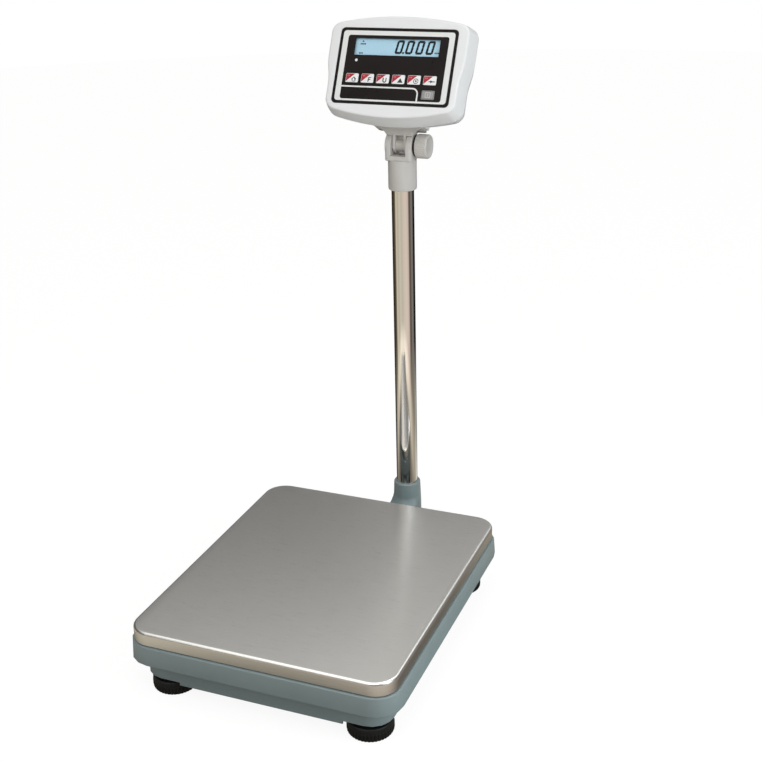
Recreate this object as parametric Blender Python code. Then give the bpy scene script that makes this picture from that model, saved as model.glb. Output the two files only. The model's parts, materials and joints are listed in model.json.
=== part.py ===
"""Platform scale: a stainless pan on two cast frames and a load cell, and an indicator on a column.

Metres, +Z up. The floor is z = 0, the front is -Y and +X is to the right of someone who reads the display.
The origin is on the floor under the middle of the whole scale.
Each piece is one closed solid. Pieces that touch on the real scale stand GAP apart here.
"""

import math

import bmesh
import bpy
from mathutils import Matrix, Vector

MM = 0.001
GAP = 0.3 * MM  # between two pieces that touch

# Pan: a deep-drawn stainless tray, upside down over the top frame
PAN_WIDTH = 420 * MM
PAN_LENGTH = 500 * MM
PAN_TOP_Z = 112.3 * MM
PAN_SHEET = 1.5 * MM
PAN_SKIRT = 20.8 * MM
PAN_CORNER = 36 * MM
PAN_BEND = 4.5 * MM

# Top frame: the casting that carries the pan and rides on the load cell
FRAME_BOTTOM_Z = 59 * MM
FRAME_LEDGE_Z = 90 * MM
FRAME_LEDGE_OUT = 3.5 * MM  # how far the casting stands out past the pan, at the ledge and at the bottom
FRAME_BOTTOM_OUT = 5.3 * MM
FRAME_EDGE = 1.5 * MM
FRAME_WALL = 4 * MM
FRAME_DECK = 4 * MM
FRAME_RIB = 5 * MM
RIB_OVER_CELL = 1.4 * MM
BAY_MARGIN = 14 * MM  # from a deck window to the ribs' lines round it
BAY_CORNER = 10 * MM
SKIRT_CLEARANCE = 1.2 * MM  # between the pan's skirt and the rim that it slips over
BUFFER_HEIGHT = 5 * MM
BUFFER_RADIUS = 11 * MM
BUFFER_INSET = 62 * MM
BUFFER_STEM = 9 * MM
BUFFER_STEM_RADIUS = 2.7 * MM

# Base: the casting that stands on the feet
BASE_INSET_X = 13.5 * MM
BASE_INSET_Y = 12 * MM
BASE_CORNER = 34 * MM
BASE_BOTTOM_Z = 23.5 * MM
BASE_RIM_Z = 66 * MM
BASE_WALL = 4 * MM
BASE_DECK_Z = 36 * MM
BASE_DECK = 4 * MM
BASE_RIB = 5 * MM
BASE_EDGE = 1.5 * MM
CORNER_RELIEF = 66 * MM  # along each side, from the base's corner
RELIEF_REACH = 5 * MM  # how far the cutter of a corner relief stands out of the base
NUT_OVER_WHEEL = 2.2 * MM
BASE_BAY_CORNER = 12 * MM
BASE_BAY_SIDE = 12 * MM  # from a deck window to the rim
BASE_BAY_END = 22 * MM  # from a deck window to the stops' line
BASE_BAY_RIB = 8 * MM  # from a deck window to the ribs beside the cell

# Load cell: single point, bolted to the base at its back end and to the top frame at its front end
CELL_LENGTH = 150 * MM
CELL_WIDTH = 38 * MM
CELL_HEIGHT = 30 * MM
CELL_PAD_Z = 43 * MM
CELL_SPACER = 3 * MM
CELL_FOOT = 46 * MM  # length of the cell that each spacer holds
CELL_BOLT_RADIUS = 4 * MM
CELL_BOLT_INSETS = (11 * MM, 34 * MM)
CELL_BOLT_GRIP = 16 * MM  # how far a bolt reaches into the cell
CELL_HOLE_RADIUS = 9.5 * MM
CELL_HOLE_SPREAD = 14 * MM  # from the middle to each of its two holes
CELL_SLOT = 5 * MM
CELL_BOLT_HEAD_RADIUS = 6.5 * MM
CELL_BOLT_HEAD = 7 * MM
UPPER_BOLT_SINK = 9 * MM  # from the top frame's deck down to the bolt heads' seats
PLATFORM_TRAVEL = 1 * MM
STOP_INSET_X = 90 * MM
STOP_INSET_Y = 100 * MM
STOP_BOSS_RADIUS = 9 * MM
STOP_BOSS_DRAFT = 3 * MM
STOP_SCREW_RADIUS = 4 * MM
STOP_HEAD_RADIUS = 7.5 * MM
STOP_HEAD = 5.3 * MM

# Levelling feet
FOOT_INSET_X = 51 * MM
FOOT_INSET_Y = 47 * MM
FOOT_RADIUS = 34.5 * MM
FOOT_HEIGHT = 22 * MM
FOOT_FLUTES = 22
FOOT_FLUTE = 1.2 * MM
FOOT_CHAMFER = 2 * MM
FLUTES_TOP_Z = 12 * MM  # the wheel is plain above this
HUB_RADIUS = 10 * MM
HUB_HEIGHT = 1.6 * MM
STUD_SINK = 14 * MM  # how far a stud reaches down into its wheel
STUD_RADIUS = 5 * MM
STUD_TOP_Z = 60 * MM
FOOT_BOSS_RADIUS = 15 * MM
FOOT_BOSS_DRAFT = 2 * MM
STUD_OVER_BOSS = 8 * MM
LOCK_NUT_HEIGHT = 5.5 * MM
LOCK_NUT_FLAT = 17 * MM

# Column and its bracket
COLUMN_BEHIND_PAN = 124 * MM
TUBE_RADIUS = 19.05 * MM
TUBE_WALL = 1.5 * MM
SOCKET_WALL = 4.65 * MM
SOCKET_FLARE = 1.5 * MM
SOCKET_TOP_Z = 93.6 * MM
SOCKET_EDGE = 1.5 * MM
SOCKET_BOTTOM_Z = 28 * MM
SOCKET_FLOOR = 6 * MM
SOCKET_FILLET = 21 * MM  # between the socket's front and the arm's top
FILLET_STEPS = 6
SOCKET_SCREWS_Z = (75 * MM, 87 * MM)
SOCKET_SCREW_RADIUS = 3 * MM
SOCKET_SCREW_LENGTH = 5.5 * MM
SOCKET_SCREW_HEAD = (5 * MM, 4 * MM)  # radius and height
SOCKET_SCREW_KEY = 2.5 * MM
ARM_TOP_Z = 51 * MM
ARM_BOTTOM_Z = 31 * MM
ARM_WALL = 4 * MM
ARM_HALF_WIDTH = 38 * MM
FLANGE_HALF_WIDTH = 72 * MM
FLANGE = 6 * MM
FLANGE_BOLT_X = (48 * MM, 64 * MM)
FLANGE_BOLT_RADIUS = 3 * MM
FLANGE_BOLT_HEAD = (5.6 * MM, 4 * MM)
FLANGE_BOLT_LENGTH = 14 * MM
LEVEL_RADIUS = 8 * MM
LEVEL_HEIGHT = 5.2 * MM
LEVEL_BEHIND_FLANGE = 30 * MM

# Tilting yoke on top of the column
PIVOT_Z = 712 * MM
COLLAR_WALL = 4.65 * MM
COLLAR_LENGTH = 50.8 * MM
COLLAR_EDGE = 3 * MM
COLLAR_UNDER_PIVOT = 23 * MM
COLLAR_ROOF = 6 * MM
EAR_THICKNESS = 10 * MM
EAR_GAP = 27 * MM
EAR_RADIUS = 20 * MM
YOKE_HALF_DEPTH = 22 * MM
YOKE_CORNER = 5 * MM
YOKE_EDGE = 1.2 * MM
FLOOR_UNDER_PIVOT = 15 * MM
CABLE_HOLE_RADIUS = 8 * MM
BARREL_RADIUS = 10.5 * MM
SADDLE_RADIUS = 21 * MM
CLAMP_BOLT_RADIUS = 4 * MM
CLAMP_HEAD_RADIUS = 12.5 * MM
CLAMP_HEAD = 4.6 * MM
KNOB_RADIUS = 20 * MM
KNOB_LENGTH = 21 * MM
KNOB_STANDOFF = 4.2 * MM
KNOB_HUB_RADIUS = 11 * MM
KNOB_FLUTES = 20
KNOB_POINTS = 2  # outline points for each flute

# Indicator head, in its own frame: the tilt axis is the origin, +Z is up the face, -Y is out of the face
HEAD_LEAN = math.radians(27.14)
FACE_AHEAD = 87 * MM
PANEL_UP = 103 * MM
HEAD_REACH_BACK = 54 * MM
PANEL_WIDTH = 200 * MM
PANEL_HEIGHT = 125.4 * MM
PANEL_CORNER = 7 * MM
PANEL_SHEET = 0.8 * MM
PANEL_POCKET = 1.2 * MM
LENS_RIM = 1.2 * MM
SHELL_WALL = 2.5 * MM
SHELL_FLARE = 5 * MM
THROUGH_FACE = (-5 * MM, 9 * MM)  # depths between which the face is cut through
FRONT_DEPTH = 32 * MM
BACK_DEPTH_LOW = 85 * MM
BACK_DEPTH_HIGH = 60 * MM
HEAD_HALF_HEIGHT = 80 * MM
HEAD_CORNER = 15 * MM
HEAD_BORDER = 14.4 * MM  # from the panel's sides to the middle line of the head's sides
HEAD_WAIST = 3.2 * MM  # how far the sides swell out of that line above and draw in below
WAIST_V = -8 * MM
WAIST_SPAN = 16 * MM
CROWN = 3 * MM
CROWN_CURVE = 0.95  # per metre, on the square of the distance from the middle
KEEL = 3.5 * MM
KEEL_CURVE = 1.25
TONGUE = 3 * MM
TONGUE_WALL = 1.5 * MM
THROUGH_BACK = (-12 * MM, 9 * MM)
BORE_RADIUS = 6 * MM  # of the holes for the inlet and the gland
PAD_WALL = 3 * MM
PAD_RISE = 16 * MM

# What shows on the panel, from the panel's top left corner
DISPLAY = (28 * MM, 17.5 * MM, PANEL_WIDTH - 28.5 * MM, 44.5 * MM)
KEY_WIDTH = 21.5 * MM
KEY_HEIGHT = 14.6 * MM
KEY_LEFT = 20 * MM
KEY_RIGHT = PANEL_WIDTH - 25.5 * MM
KEY_TOP = 75.5 * MM
KEY_COUNT = 6
KEY_PITCH = (KEY_RIGHT - KEY_LEFT - KEY_WIDTH) / (KEY_COUNT - 1)
POWER_KEY = (KEY_RIGHT - KEY_WIDTH, 99 * MM, KEY_RIGHT, 113.5 * MM)
KEY_CORNER = 1.5 * MM
KEY_PROUD = 0.5 * MM
KEY_DEPTH = 4 * MM
KEY_FLANGE = 1.6 * MM
KEY_TRAVEL = 0.5 * MM
KEY_EDGE = 0.3 * MM

# Inside the head
BOARD_WIDTH = PANEL_WIDTH - 4 * MM
BOARD_HEIGHT = PANEL_HEIGHT - 17.4 * MM
BOARD_SHEET = 1.6 * MM
BOARD_DEPTH = 10.3 * MM
POST_RADIUS = 4 * MM
SWITCH = 6 * MM
MODULE_MARGIN = 4 * MM
BATTERY_WIDTH = 101 * MM
BATTERY_HEIGHT = 70 * MM
BATTERY_THICKNESS = 47 * MM
BATTERY_DEPTH = 19.5 * MM
BATTERY_LOW = -56 * MM
BATTERY_EDGE = 2 * MM
DOOR_CLEARANCE = 2 * MM  # between the battery and the opening's edge
DOOR_MARGIN = 5 * MM
DOOR_SHEET = 2.2 * MM
DOOR_EDGE = 0.8 * MM
DOOR_GRIP = (26 * MM, 9 * MM)
GRIP_UP = 32 * MM
DOOR_RIB = 3 * MM
KNUCKLE_HALF_WIDTH = 42 * MM
KNUCKLE_FLANGE_Z = (21.5 * MM, 27.5 * MM)
KNUCKLE_FLANGE_DEPTH = (44 * MM, 84 * MM)
KNUCKLE_CORNER = 5 * MM
CHEEK_RADIUS = 13.5 * MM
CHEEK_THICKNESS = 4.5 * MM
CHEEK_RECESS = 1.2 * MM  # of each cheek behind the end of the barrel, which meets the ear
CHEEK_TAPER = 0.8
WEB_DEPTH = (-2 * MM, 9 * MM)
NECK_RINGS = (  # height over the tilt axis, half-width and half-depth, with the neck upright
    (6 * MM, 25.5 * MM, 9 * MM),
    (19 * MM, 25.5 * MM, 11 * MM),
    (24 * MM, 27.5 * MM, 14 * MM),
    (29 * MM, 32.5 * MM, 18 * MM),
    (34 * MM, KNUCKLE_HALF_WIDTH, 24 * MM),
    (39 * MM, KNUCKLE_HALF_WIDTH, 27 * MM),
)

PLATFORM_Y = -(COLUMN_BEHIND_PAN + HEAD_REACH_BACK) / 2
COLUMN_Y = PLATFORM_Y + PAN_LENGTH / 2 + COLUMN_BEHIND_PAN
BASE_WIDTH = PAN_WIDTH - 2 * BASE_INSET_X
BASE_LENGTH = PAN_LENGTH - 2 * BASE_INSET_Y
FOOT_X = PAN_WIDTH / 2 - FOOT_INSET_X
FOOT_Y = PAN_LENGTH / 2 - FOOT_INSET_Y
STOP_X = PAN_WIDTH / 2 - STOP_INSET_X
STOP_Y = PAN_LENGTH / 2 - STOP_INSET_Y
CORNER_RELIEF_Z = FOOT_HEIGHT + LOCK_NUT_HEIGHT + NUT_OVER_WHEEL
DECK_TOP_Z = PAN_TOP_Z - PAN_SHEET - BUFFER_HEIGHT - 2 * GAP
CELL_BOTTOM_Z = CELL_PAD_Z + CELL_SPACER + 2 * GAP
CELL_TOP_Z = CELL_BOTTOM_Z + CELL_HEIGHT
FRAME_PAD_Z = CELL_TOP_Z + CELL_SPACER + 2 * GAP
FRAME_RIB_Z = CELL_TOP_Z + RIB_OVER_CELL
SOCKET_TOP_RADIUS = TUBE_RADIUS + GAP + SOCKET_WALL
SOCKET_FOOT_RADIUS = SOCKET_TOP_RADIUS + SOCKET_FLARE
COLLAR_RADIUS = TUBE_RADIUS + GAP + COLLAR_WALL
COLLAR_TOP_Z = PIVOT_Z - COLLAR_UNDER_PIVOT
COLLAR_BOTTOM_Z = COLLAR_TOP_Z - COLLAR_LENGTH
YOKE_FLOOR_Z = PIVOT_Z - FLOOR_UNDER_PIVOT
EAR_OUT = EAR_GAP / 2 + EAR_THICKNESS


# Making solids

def clear_scene():
    for old in list(bpy.data.objects):
        bpy.data.objects.remove(old)


def solid(name, bm):
    """A linked object from a bmesh, with its faces turned outwards."""
    bmesh.ops.recalc_face_normals(bm, faces=bm.faces)
    mesh = bpy.data.meshes.new(name)
    bm.to_mesh(mesh)
    bm.free()
    made = bpy.data.objects.new(name, mesh)
    bpy.context.scene.collection.objects.link(made)
    return made


def loft(rings, name="tool", endless=False):
    """Skins rings of equal count. The ends are capped, or joined to each other when endless."""
    bm = bmesh.new()
    rows = [[bm.verts.new(point) for point in ring] for ring in rings]
    following = rows[1:] + rows[:1] if endless else rows[1:]
    for low, high in zip(rows, following):
        for i, corner in enumerate(low):
            j = (i + 1) % len(low)
            bm.faces.new((corner, low[j], high[j], high[i]))
    if not endless:
        bm.faces.new(rows[0][::-1])
        bm.faces.new(rows[-1])
    return solid(name, bm)


def circle(radius, z, segments, x=0, y=0):
    turns = [2 * math.pi * i / segments for i in range(segments)]
    return [Vector((x + radius * math.cos(t), y + radius * math.sin(t), z)) for t in turns]


def turned(profile, segments=24, name="tool", endless=False, x=0, y=0):
    """Revolves (radius, z) pairs about Z. An endless profile closes on itself, as a tube's wall does."""
    return loft([circle(r, z, segments, x, y) for r, z in profile], name, endless)


def rod(radius, z_low, z_high, x=0, y=0, segments=24):
    return turned([(radius, z_low), (radius, z_high)], segments, x=x, y=y)


def box(x, y, z, name="tool"):
    """A block between the two values of each axis."""
    bm = bmesh.new()
    bmesh.ops.create_cube(bm, size=1)
    size = Matrix.Diagonal((x[1] - x[0], y[1] - y[0], z[1] - z[0], 1))
    centre = Matrix.Translation(((x[0] + x[1]) / 2, (y[0] + y[1]) / 2, (z[0] + z[1]) / 2))
    bm.transform(centre @ size)
    return solid(name, bm)


def rounded_rectangle(width, length, radius, corner_steps=4, side_steps=1):
    """Outline points, anticlockwise from the right side, with each straight side in side_steps."""
    outline = []
    for quarter in range(4):
        sx, sy = ((1, 1), (-1, 1), (-1, -1), (1, -1))[quarter]
        centre = Vector((sx * (width / 2 - radius), sy * (length / 2 - radius)))
        arc = []
        for step in range(corner_steps + 1):
            angle = math.pi / 2 * (quarter + step / corner_steps)
            arc.append(centre + radius * Vector((math.cos(angle), math.sin(angle))))
        if outline:
            last = outline[-1]
            outline += [last.lerp(arc[0], i / side_steps) for i in range(1, side_steps)]
        outline += arc
    last, first = outline[-1], outline[0]
    outline += [last.lerp(first, i / side_steps) for i in range(1, side_steps)]
    return outline


def plate_ring(width, length, radius, z, corner_steps=4):
    return [p.to_3d() + Vector((0, 0, z)) for p in rounded_rectangle(width, length, radius, corner_steps)]


def prism(outline, z_low, z_high, name="tool"):
    return loft([[Vector((p[0], p[1], z)) for p in outline] for z in (z_low, z_high)], name)


def shape(body, add=(), cut=()):
    """Joins the tools in add to the body, cuts those in cut from it, and removes them all."""
    for operation, tools in (("UNION", add), ("DIFFERENCE", cut)):
        for tool in tools:
            modifier = body.modifiers.new(operation.lower(), "BOOLEAN")
            modifier.operation = operation
            modifier.solver = "EXACT"
            modifier.object = tool
    bpy.context.view_layer.update()
    graph = bpy.context.evaluated_depsgraph_get()
    finished = bpy.data.meshes.new_from_object(body.evaluated_get(graph))
    body.modifiers.clear()
    body.data = finished
    for tool in (*add, *cut):
        bpy.data.objects.remove(tool)
    return body


def moved(made, matrix):
    made.data.transform(matrix)
    return made


def along_x(made):
    """Turns what was made along +Z to lie along +X."""
    return moved(made, Matrix.Rotation(math.pi / 2, 4, "Y"))


def along_y(made):
    """Turns what was made along +Z to lie along +Y."""
    return moved(made, Matrix.Rotation(-math.pi / 2, 4, "X"))


def datum(name, location, parent=None, lean=0.0):
    """An empty that carries the pieces of one body."""
    empty = bpy.data.objects.new(name, None)
    bpy.context.scene.collection.objects.link(empty)
    empty.empty_display_size = 0.05
    empty.location = location
    empty.rotation_euler = (lean, 0, 0)
    empty.parent = parent
    return empty


def finish(made, name, material, parent, location=(0, 0, 0)):
    """Names a piece, gives it its material and shading, and places it under its body's empty."""
    made.name = name
    made.data.name = name
    made.data.materials.clear()
    made.data.materials.append(material)
    for face in made.data.polygons:
        face.material_index = 0
    made.data.shade_smooth()
    made.data.set_sharp_from_angle(angle=math.radians(32))
    made.location = location
    made.parent = parent
    return made


def surface(name, colour, roughness, metallic=0.0, alpha=1.0):
    material = bpy.data.materials.new(name)
    material.use_nodes = True
    shader = material.node_tree.nodes["Principled BSDF"]
    shader.inputs["Base Color"].default_value = (*colour, 1)
    shader.inputs["Roughness"].default_value = roughness
    shader.inputs["Metallic"].default_value = metallic
    shader.inputs["Alpha"].default_value = alpha
    return material


def screw(shank_radius, length, head_radius, head_height, sides=6, socket=0.0):
    """A screw with its head's underside at z = 0 and its shank down -Z, with a socket if one is given."""
    profile = [(shank_radius * 0.8, -length), (shank_radius, -length + shank_radius * 0.3)]
    shank = turned(profile + [(shank_radius, head_height / 2)], 8)
    head = loft(
        [
            circle(head_radius, 0, sides),
            circle(head_radius, head_height * 0.85, sides),
            circle(head_radius * 0.9, head_height, sides),
        ]
    )
    cut = [rod(socket, head_height * 0.45, head_height * 2, segments=6)] if socket else []
    return shape(head, [shank], cut)


# Pan

def make_pan(material, parent):
    """Outer and inner skins with a rolled edge all round, joined at the skirt's lower rim."""
    def skin(offset, z_rim):
        width, length = PAN_WIDTH - 2 * offset, PAN_LENGTH - 2 * offset
        corner, bend = PAN_CORNER - offset, PAN_BEND - offset
        top = PAN_TOP_Z - offset
        rings = [plate_ring(width, length, corner, z_rim, 5)]
        steps = 3
        for i in range(steps + 1):
            angle = math.pi / 2 * i / steps
            inwards = bend * (1 - math.cos(angle))
            z = top - bend * (1 - math.sin(angle))
            rings.append(plate_ring(width - 2 * inwards, length - 2 * inwards, corner - inwards, z, 5))
        return rings

    rim = PAN_TOP_Z - PAN_SKIRT
    pan = loft(skin(PAN_SHEET, rim)[::-1] + skin(0, rim))
    return finish(pan, "pan", material, parent)


# Top frame

def make_top_frame(material, parent):
    """A rim that stands out past the pan, a collar inside its skirt, and a ribbed deck with windows."""
    def ring(out, z):
        return plate_ring(PAN_WIDTH + 2 * out, PAN_LENGTH + 2 * out, PAN_CORNER + out, z)

    edge = FRAME_EDGE
    collar = -PAN_SHEET - SKIRT_CLEARANCE
    section = (
        (collar - FRAME_WALL, DECK_TOP_Z - FRAME_DECK),
        (FRAME_LEDGE_OUT - FRAME_WALL, FRAME_LEDGE_Z - FRAME_WALL),
        (FRAME_BOTTOM_OUT - FRAME_WALL, FRAME_BOTTOM_Z),
        (FRAME_BOTTOM_OUT - edge, FRAME_BOTTOM_Z),
        (FRAME_BOTTOM_OUT, FRAME_BOTTOM_Z + edge),
        (FRAME_LEDGE_OUT, FRAME_LEDGE_Z - edge),
        (FRAME_LEDGE_OUT - edge, FRAME_LEDGE_Z),
        (collar, FRAME_LEDGE_Z),
        (collar, DECK_TOP_Z - edge),
        (collar - edge, DECK_TOP_Z),
    )
    frame = loft([ring(out, z) for out, z in section])

    under = DECK_TOP_Z - FRAME_DECK / 2
    ribs = [frame_rib(x, PAN_LENGTH, under, True) for x in (-STOP_X, STOP_X)]
    ribs += [frame_rib(sx * (CELL_WIDTH / 2 + FRAME_RIB), PAN_LENGTH, under, True) for sx in (-1, 1)]
    ribs += [frame_rib(y, PAN_WIDTH, under, False) for y in (-STOP_Y, 0, STOP_Y)]
    pads = [
        rod(STOP_BOSS_RADIUS, FRAME_RIB_Z, under, sx * STOP_X, sy * STOP_Y, 12)
        for sx in (-1, 1)
        for sy in (-1, 1)
    ]
    live_end = -CELL_LENGTH / 2
    pad = box(
        (-CELL_WIDTH / 2 - FRAME_RIB, CELL_WIDTH / 2 + FRAME_RIB),
        (live_end, live_end + CELL_FOOT),
        (FRAME_PAD_Z, under),
    )

    above = DECK_TOP_Z + FRAME_DECK
    x_low, x_high = CELL_WIDTH / 2 + FRAME_RIB * 1.5 + BAY_MARGIN / 2, STOP_X - BAY_MARGIN
    y_low, y_high = FRAME_RIB / 2 + BAY_MARGIN / 2, STOP_Y - BAY_MARGIN
    windows = []
    for sx in (-1, 1):
        for sy in (-1, 1):
            outline = rounded_rectangle(x_high - x_low, y_high - y_low, BAY_CORNER, 3)
            place = Vector((sx * (x_low + x_high) / 2, sy * (y_low + y_high) / 2, 0))
            windows.append(moved(prism(outline, under - FRAME_DECK, above), Matrix.Translation(place)))
    holes = [
        rod(BUFFER_STEM_RADIUS + GAP, under - FRAME_DECK, above, sx * x, sy * y, 12)
        for sx in (-1, 1)
        for sy in (-1, 1)
        for x, y in [buffer_place()]
    ]
    for inset in CELL_BOLT_INSETS:
        y = live_end + inset
        holes.append(rod(CELL_BOLT_RADIUS + GAP, FRAME_PAD_Z - FRAME_DECK, above, 0, y, 12))
        holes.append(rod(CELL_BOLT_HEAD_RADIUS + 2 * GAP, DECK_TOP_Z - UPPER_BOLT_SINK, above, 0, y, 12))
    shape(frame, [*ribs, *pads, pad], windows + holes)
    return finish(frame, "top_frame", material, parent)


def frame_rib(at, length, top, lengthways):
    """A rib across the frame at the given place. Under the ledge it runs on into the wider wall there."""
    shoulder = FRAME_LEDGE_Z - FRAME_WALL / 2
    wide = length / 2 + FRAME_LEDGE_OUT - FRAME_WALL / 2
    high = length / 2 - PAN_SHEET - SKIRT_CLEARANCE - FRAME_WALL / 2
    outline = (
        (-wide, FRAME_RIB_Z),
        (wide, FRAME_RIB_Z),
        (wide, shoulder),
        (high, shoulder),
        (high, top),
        (-high, top),
        (-high, shoulder),
        (-wide, shoulder),
    )
    sides = (at - FRAME_RIB / 2, at + FRAME_RIB / 2)
    if lengthways:
        return loft([[Vector((x, u, z)) for u, z in outline] for x in sides])
    return loft([[Vector((u, y, z)) for u, z in outline] for y in sides])


def buffer_place():
    return PAN_WIDTH / 2 - BUFFER_INSET, PAN_LENGTH / 2 - BUFFER_INSET


def make_buffers(material, parent):
    """A rubber button that the pan sits on, with a stem pressed down into the deck."""
    x, y = buffer_place()
    seat = DECK_TOP_Z + GAP
    for number, (sx, sy) in enumerate(((-1, -1), (1, -1), (1, 1), (-1, 1)), 1):
        profile = [
            (BUFFER_STEM_RADIUS, -BUFFER_STEM),
            (BUFFER_STEM_RADIUS, 0),
            (BUFFER_RADIUS, 0),
            (BUFFER_RADIUS, BUFFER_HEIGHT * 0.6),
            (BUFFER_RADIUS * 0.85, BUFFER_HEIGHT),
        ]
        button = turned(profile, 12)
        finish(button, f"pan_buffer_{number}", material, parent, (sx * x, sy * y, seat))


# Base

def make_base(material, parent):
    """A rim, a deck with windows, ribs below it, and bosses for the feet, the stops and the cell."""
    def ring(inset, z):
        return plate_ring(BASE_WIDTH - 2 * inset, BASE_LENGTH - 2 * inset, BASE_CORNER - inset, z)

    section = (
        (BASE_WALL, BASE_RIM_Z),
        (BASE_WALL, BASE_BOTTOM_Z),
        (BASE_EDGE, BASE_BOTTOM_Z),
        (0, BASE_BOTTOM_Z + BASE_EDGE),
        (0, BASE_RIM_Z),
    )
    rim = loft([ring(inset, z) for inset, z in section], endless=True)
    deck_top = BASE_DECK_Z + BASE_DECK
    lap = BASE_WALL / 2
    deck = rounded_rectangle(BASE_WIDTH - 2 * lap, BASE_LENGTH - 2 * lap, BASE_CORNER - lap)
    added = [prism(deck, BASE_DECK_Z, deck_top)]
    rib_bottom = BASE_BOTTOM_Z + 1 * MM
    reach_x, reach_y = BASE_WIDTH / 2 - lap, BASE_LENGTH / 2 - lap
    inside_deck = BASE_DECK_Z + BASE_DECK / 2
    rib, heights = BASE_RIB / 2, (rib_bottom, inside_deck)
    for sx in (-1, 1):
        x = sx * (CELL_WIDTH / 2 + BASE_RIB)
        added.append(box((x - rib, x + rib), (-reach_y, reach_y), heights))
    for y in (-STOP_Y, 0, STOP_Y):
        added.append(box((-reach_x, reach_x), (y - rib, y + rib), heights))
    fixed_end = CELL_LENGTH / 2
    added.append(
        box(
            (-CELL_WIDTH / 2 - BASE_RIB, CELL_WIDTH / 2 + BASE_RIB),
            (fixed_end - CELL_FOOT, fixed_end),
            (rib_bottom, CELL_PAD_Z),
        )
    )
    boss_top = FRAME_RIB_Z - PLATFORM_TRAVEL - GAP - STOP_HEAD - GAP
    cuts = []
    for sx in (-1, 1):
        for sy in (-1, 1):
            added.append(
                turned(
                    [(STOP_BOSS_RADIUS + STOP_BOSS_DRAFT, inside_deck), (STOP_BOSS_RADIUS, boss_top)],
                    12,
                    x=sx * STOP_X,
                    y=sy * STOP_Y,
                )
            )
            added.append(
                turned(
                    [
                        (FOOT_BOSS_RADIUS, CORNER_RELIEF_Z),
                        (FOOT_BOSS_RADIUS - FOOT_BOSS_DRAFT, STUD_TOP_Z - STUD_OVER_BOSS),
                    ],
                    12,
                    x=sx * FOOT_X,
                    y=sy * FOOT_Y,
                )
            )
            cuts.append(rod(STOP_SCREW_RADIUS + GAP, 0, BASE_RIM_Z + 20 * MM, sx * STOP_X, sy * STOP_Y, 8))
            cuts.append(rod(STUD_RADIUS + GAP, 0, BASE_RIM_Z, sx * FOOT_X, sy * FOOT_Y, 12))
            corner_x = sx * BASE_WIDTH / 2
            corner_y = sy * BASE_LENGTH / 2
            relief = box(
                sorted((corner_x + sx * RELIEF_REACH, corner_x - sx * CORNER_RELIEF)),
                sorted((corner_y + sy * RELIEF_REACH, corner_y - sy * CORNER_RELIEF)),
                (BASE_BOTTOM_Z - RELIEF_REACH, CORNER_RELIEF_Z),
            )
            cuts.append(relief)
            x_low = CELL_WIDTH / 2 + BASE_RIB * 1.5 + BASE_BAY_RIB
            x_high = BASE_WIDTH / 2 - BASE_WALL - BASE_BAY_SIDE
            y_low, y_high = BASE_RIB / 2 + BASE_BAY_RIB, STOP_Y - BASE_BAY_END
            outline = rounded_rectangle(x_high - x_low, y_high - y_low, BASE_BAY_CORNER, 3)
            window = prism(outline, BASE_DECK_Z - BASE_DECK, deck_top + BASE_DECK)
            place = Vector((sx * (x_low + x_high) / 2, sy * (y_low + y_high) / 2, 0))
            cuts.append(moved(window, Matrix.Translation(place)))
    for inset in CELL_BOLT_INSETS:
        y = fixed_end - inset
        cuts.append(rod(CELL_BOLT_RADIUS + GAP, 0, CELL_PAD_Z + 9 * MM, 0, y, 12))
        cuts.append(rod(CELL_BOLT_HEAD_RADIUS + 2 * GAP, 0, CELL_PAD_Z - CELL_BOLT_HEAD + GAP, 0, y, 12))
    for x in flange_bolt_places():
        bore = along_y(rod(FLANGE_BOLT_RADIUS + 2 * GAP, reach_y - 9 * MM, reach_y + 9 * MM, segments=8))
        cuts.append(moved(bore, Matrix.Translation((x, 0, flange_bolt_z()))))
    shape(rim, added, cuts)
    return finish(rim, "base_casting", material, parent)


def flange_bolt_places():
    return [sx * x for sx in (-1, 1) for x in FLANGE_BOLT_X]


def flange_bolt_z():
    return (ARM_TOP_Z + BASE_DECK_Z + BASE_DECK) / 2


def make_stops(material, parent):
    """Overload stops: screws under the top frame that catch it when it has sunk by its full travel."""
    seat = FRAME_RIB_Z - PLATFORM_TRAVEL - GAP - STOP_HEAD
    for number, (sx, sy) in enumerate(((-1, -1), (1, -1), (1, 1), (-1, 1)), 1):
        stop = screw(STOP_SCREW_RADIUS, seat - BASE_DECK_Z, STOP_HEAD_RADIUS, STOP_HEAD)
        finish(stop, f"overload_stop_{number}", material, parent, (sx * STOP_X, sy * STOP_Y, seat))


# Load cell

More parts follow.
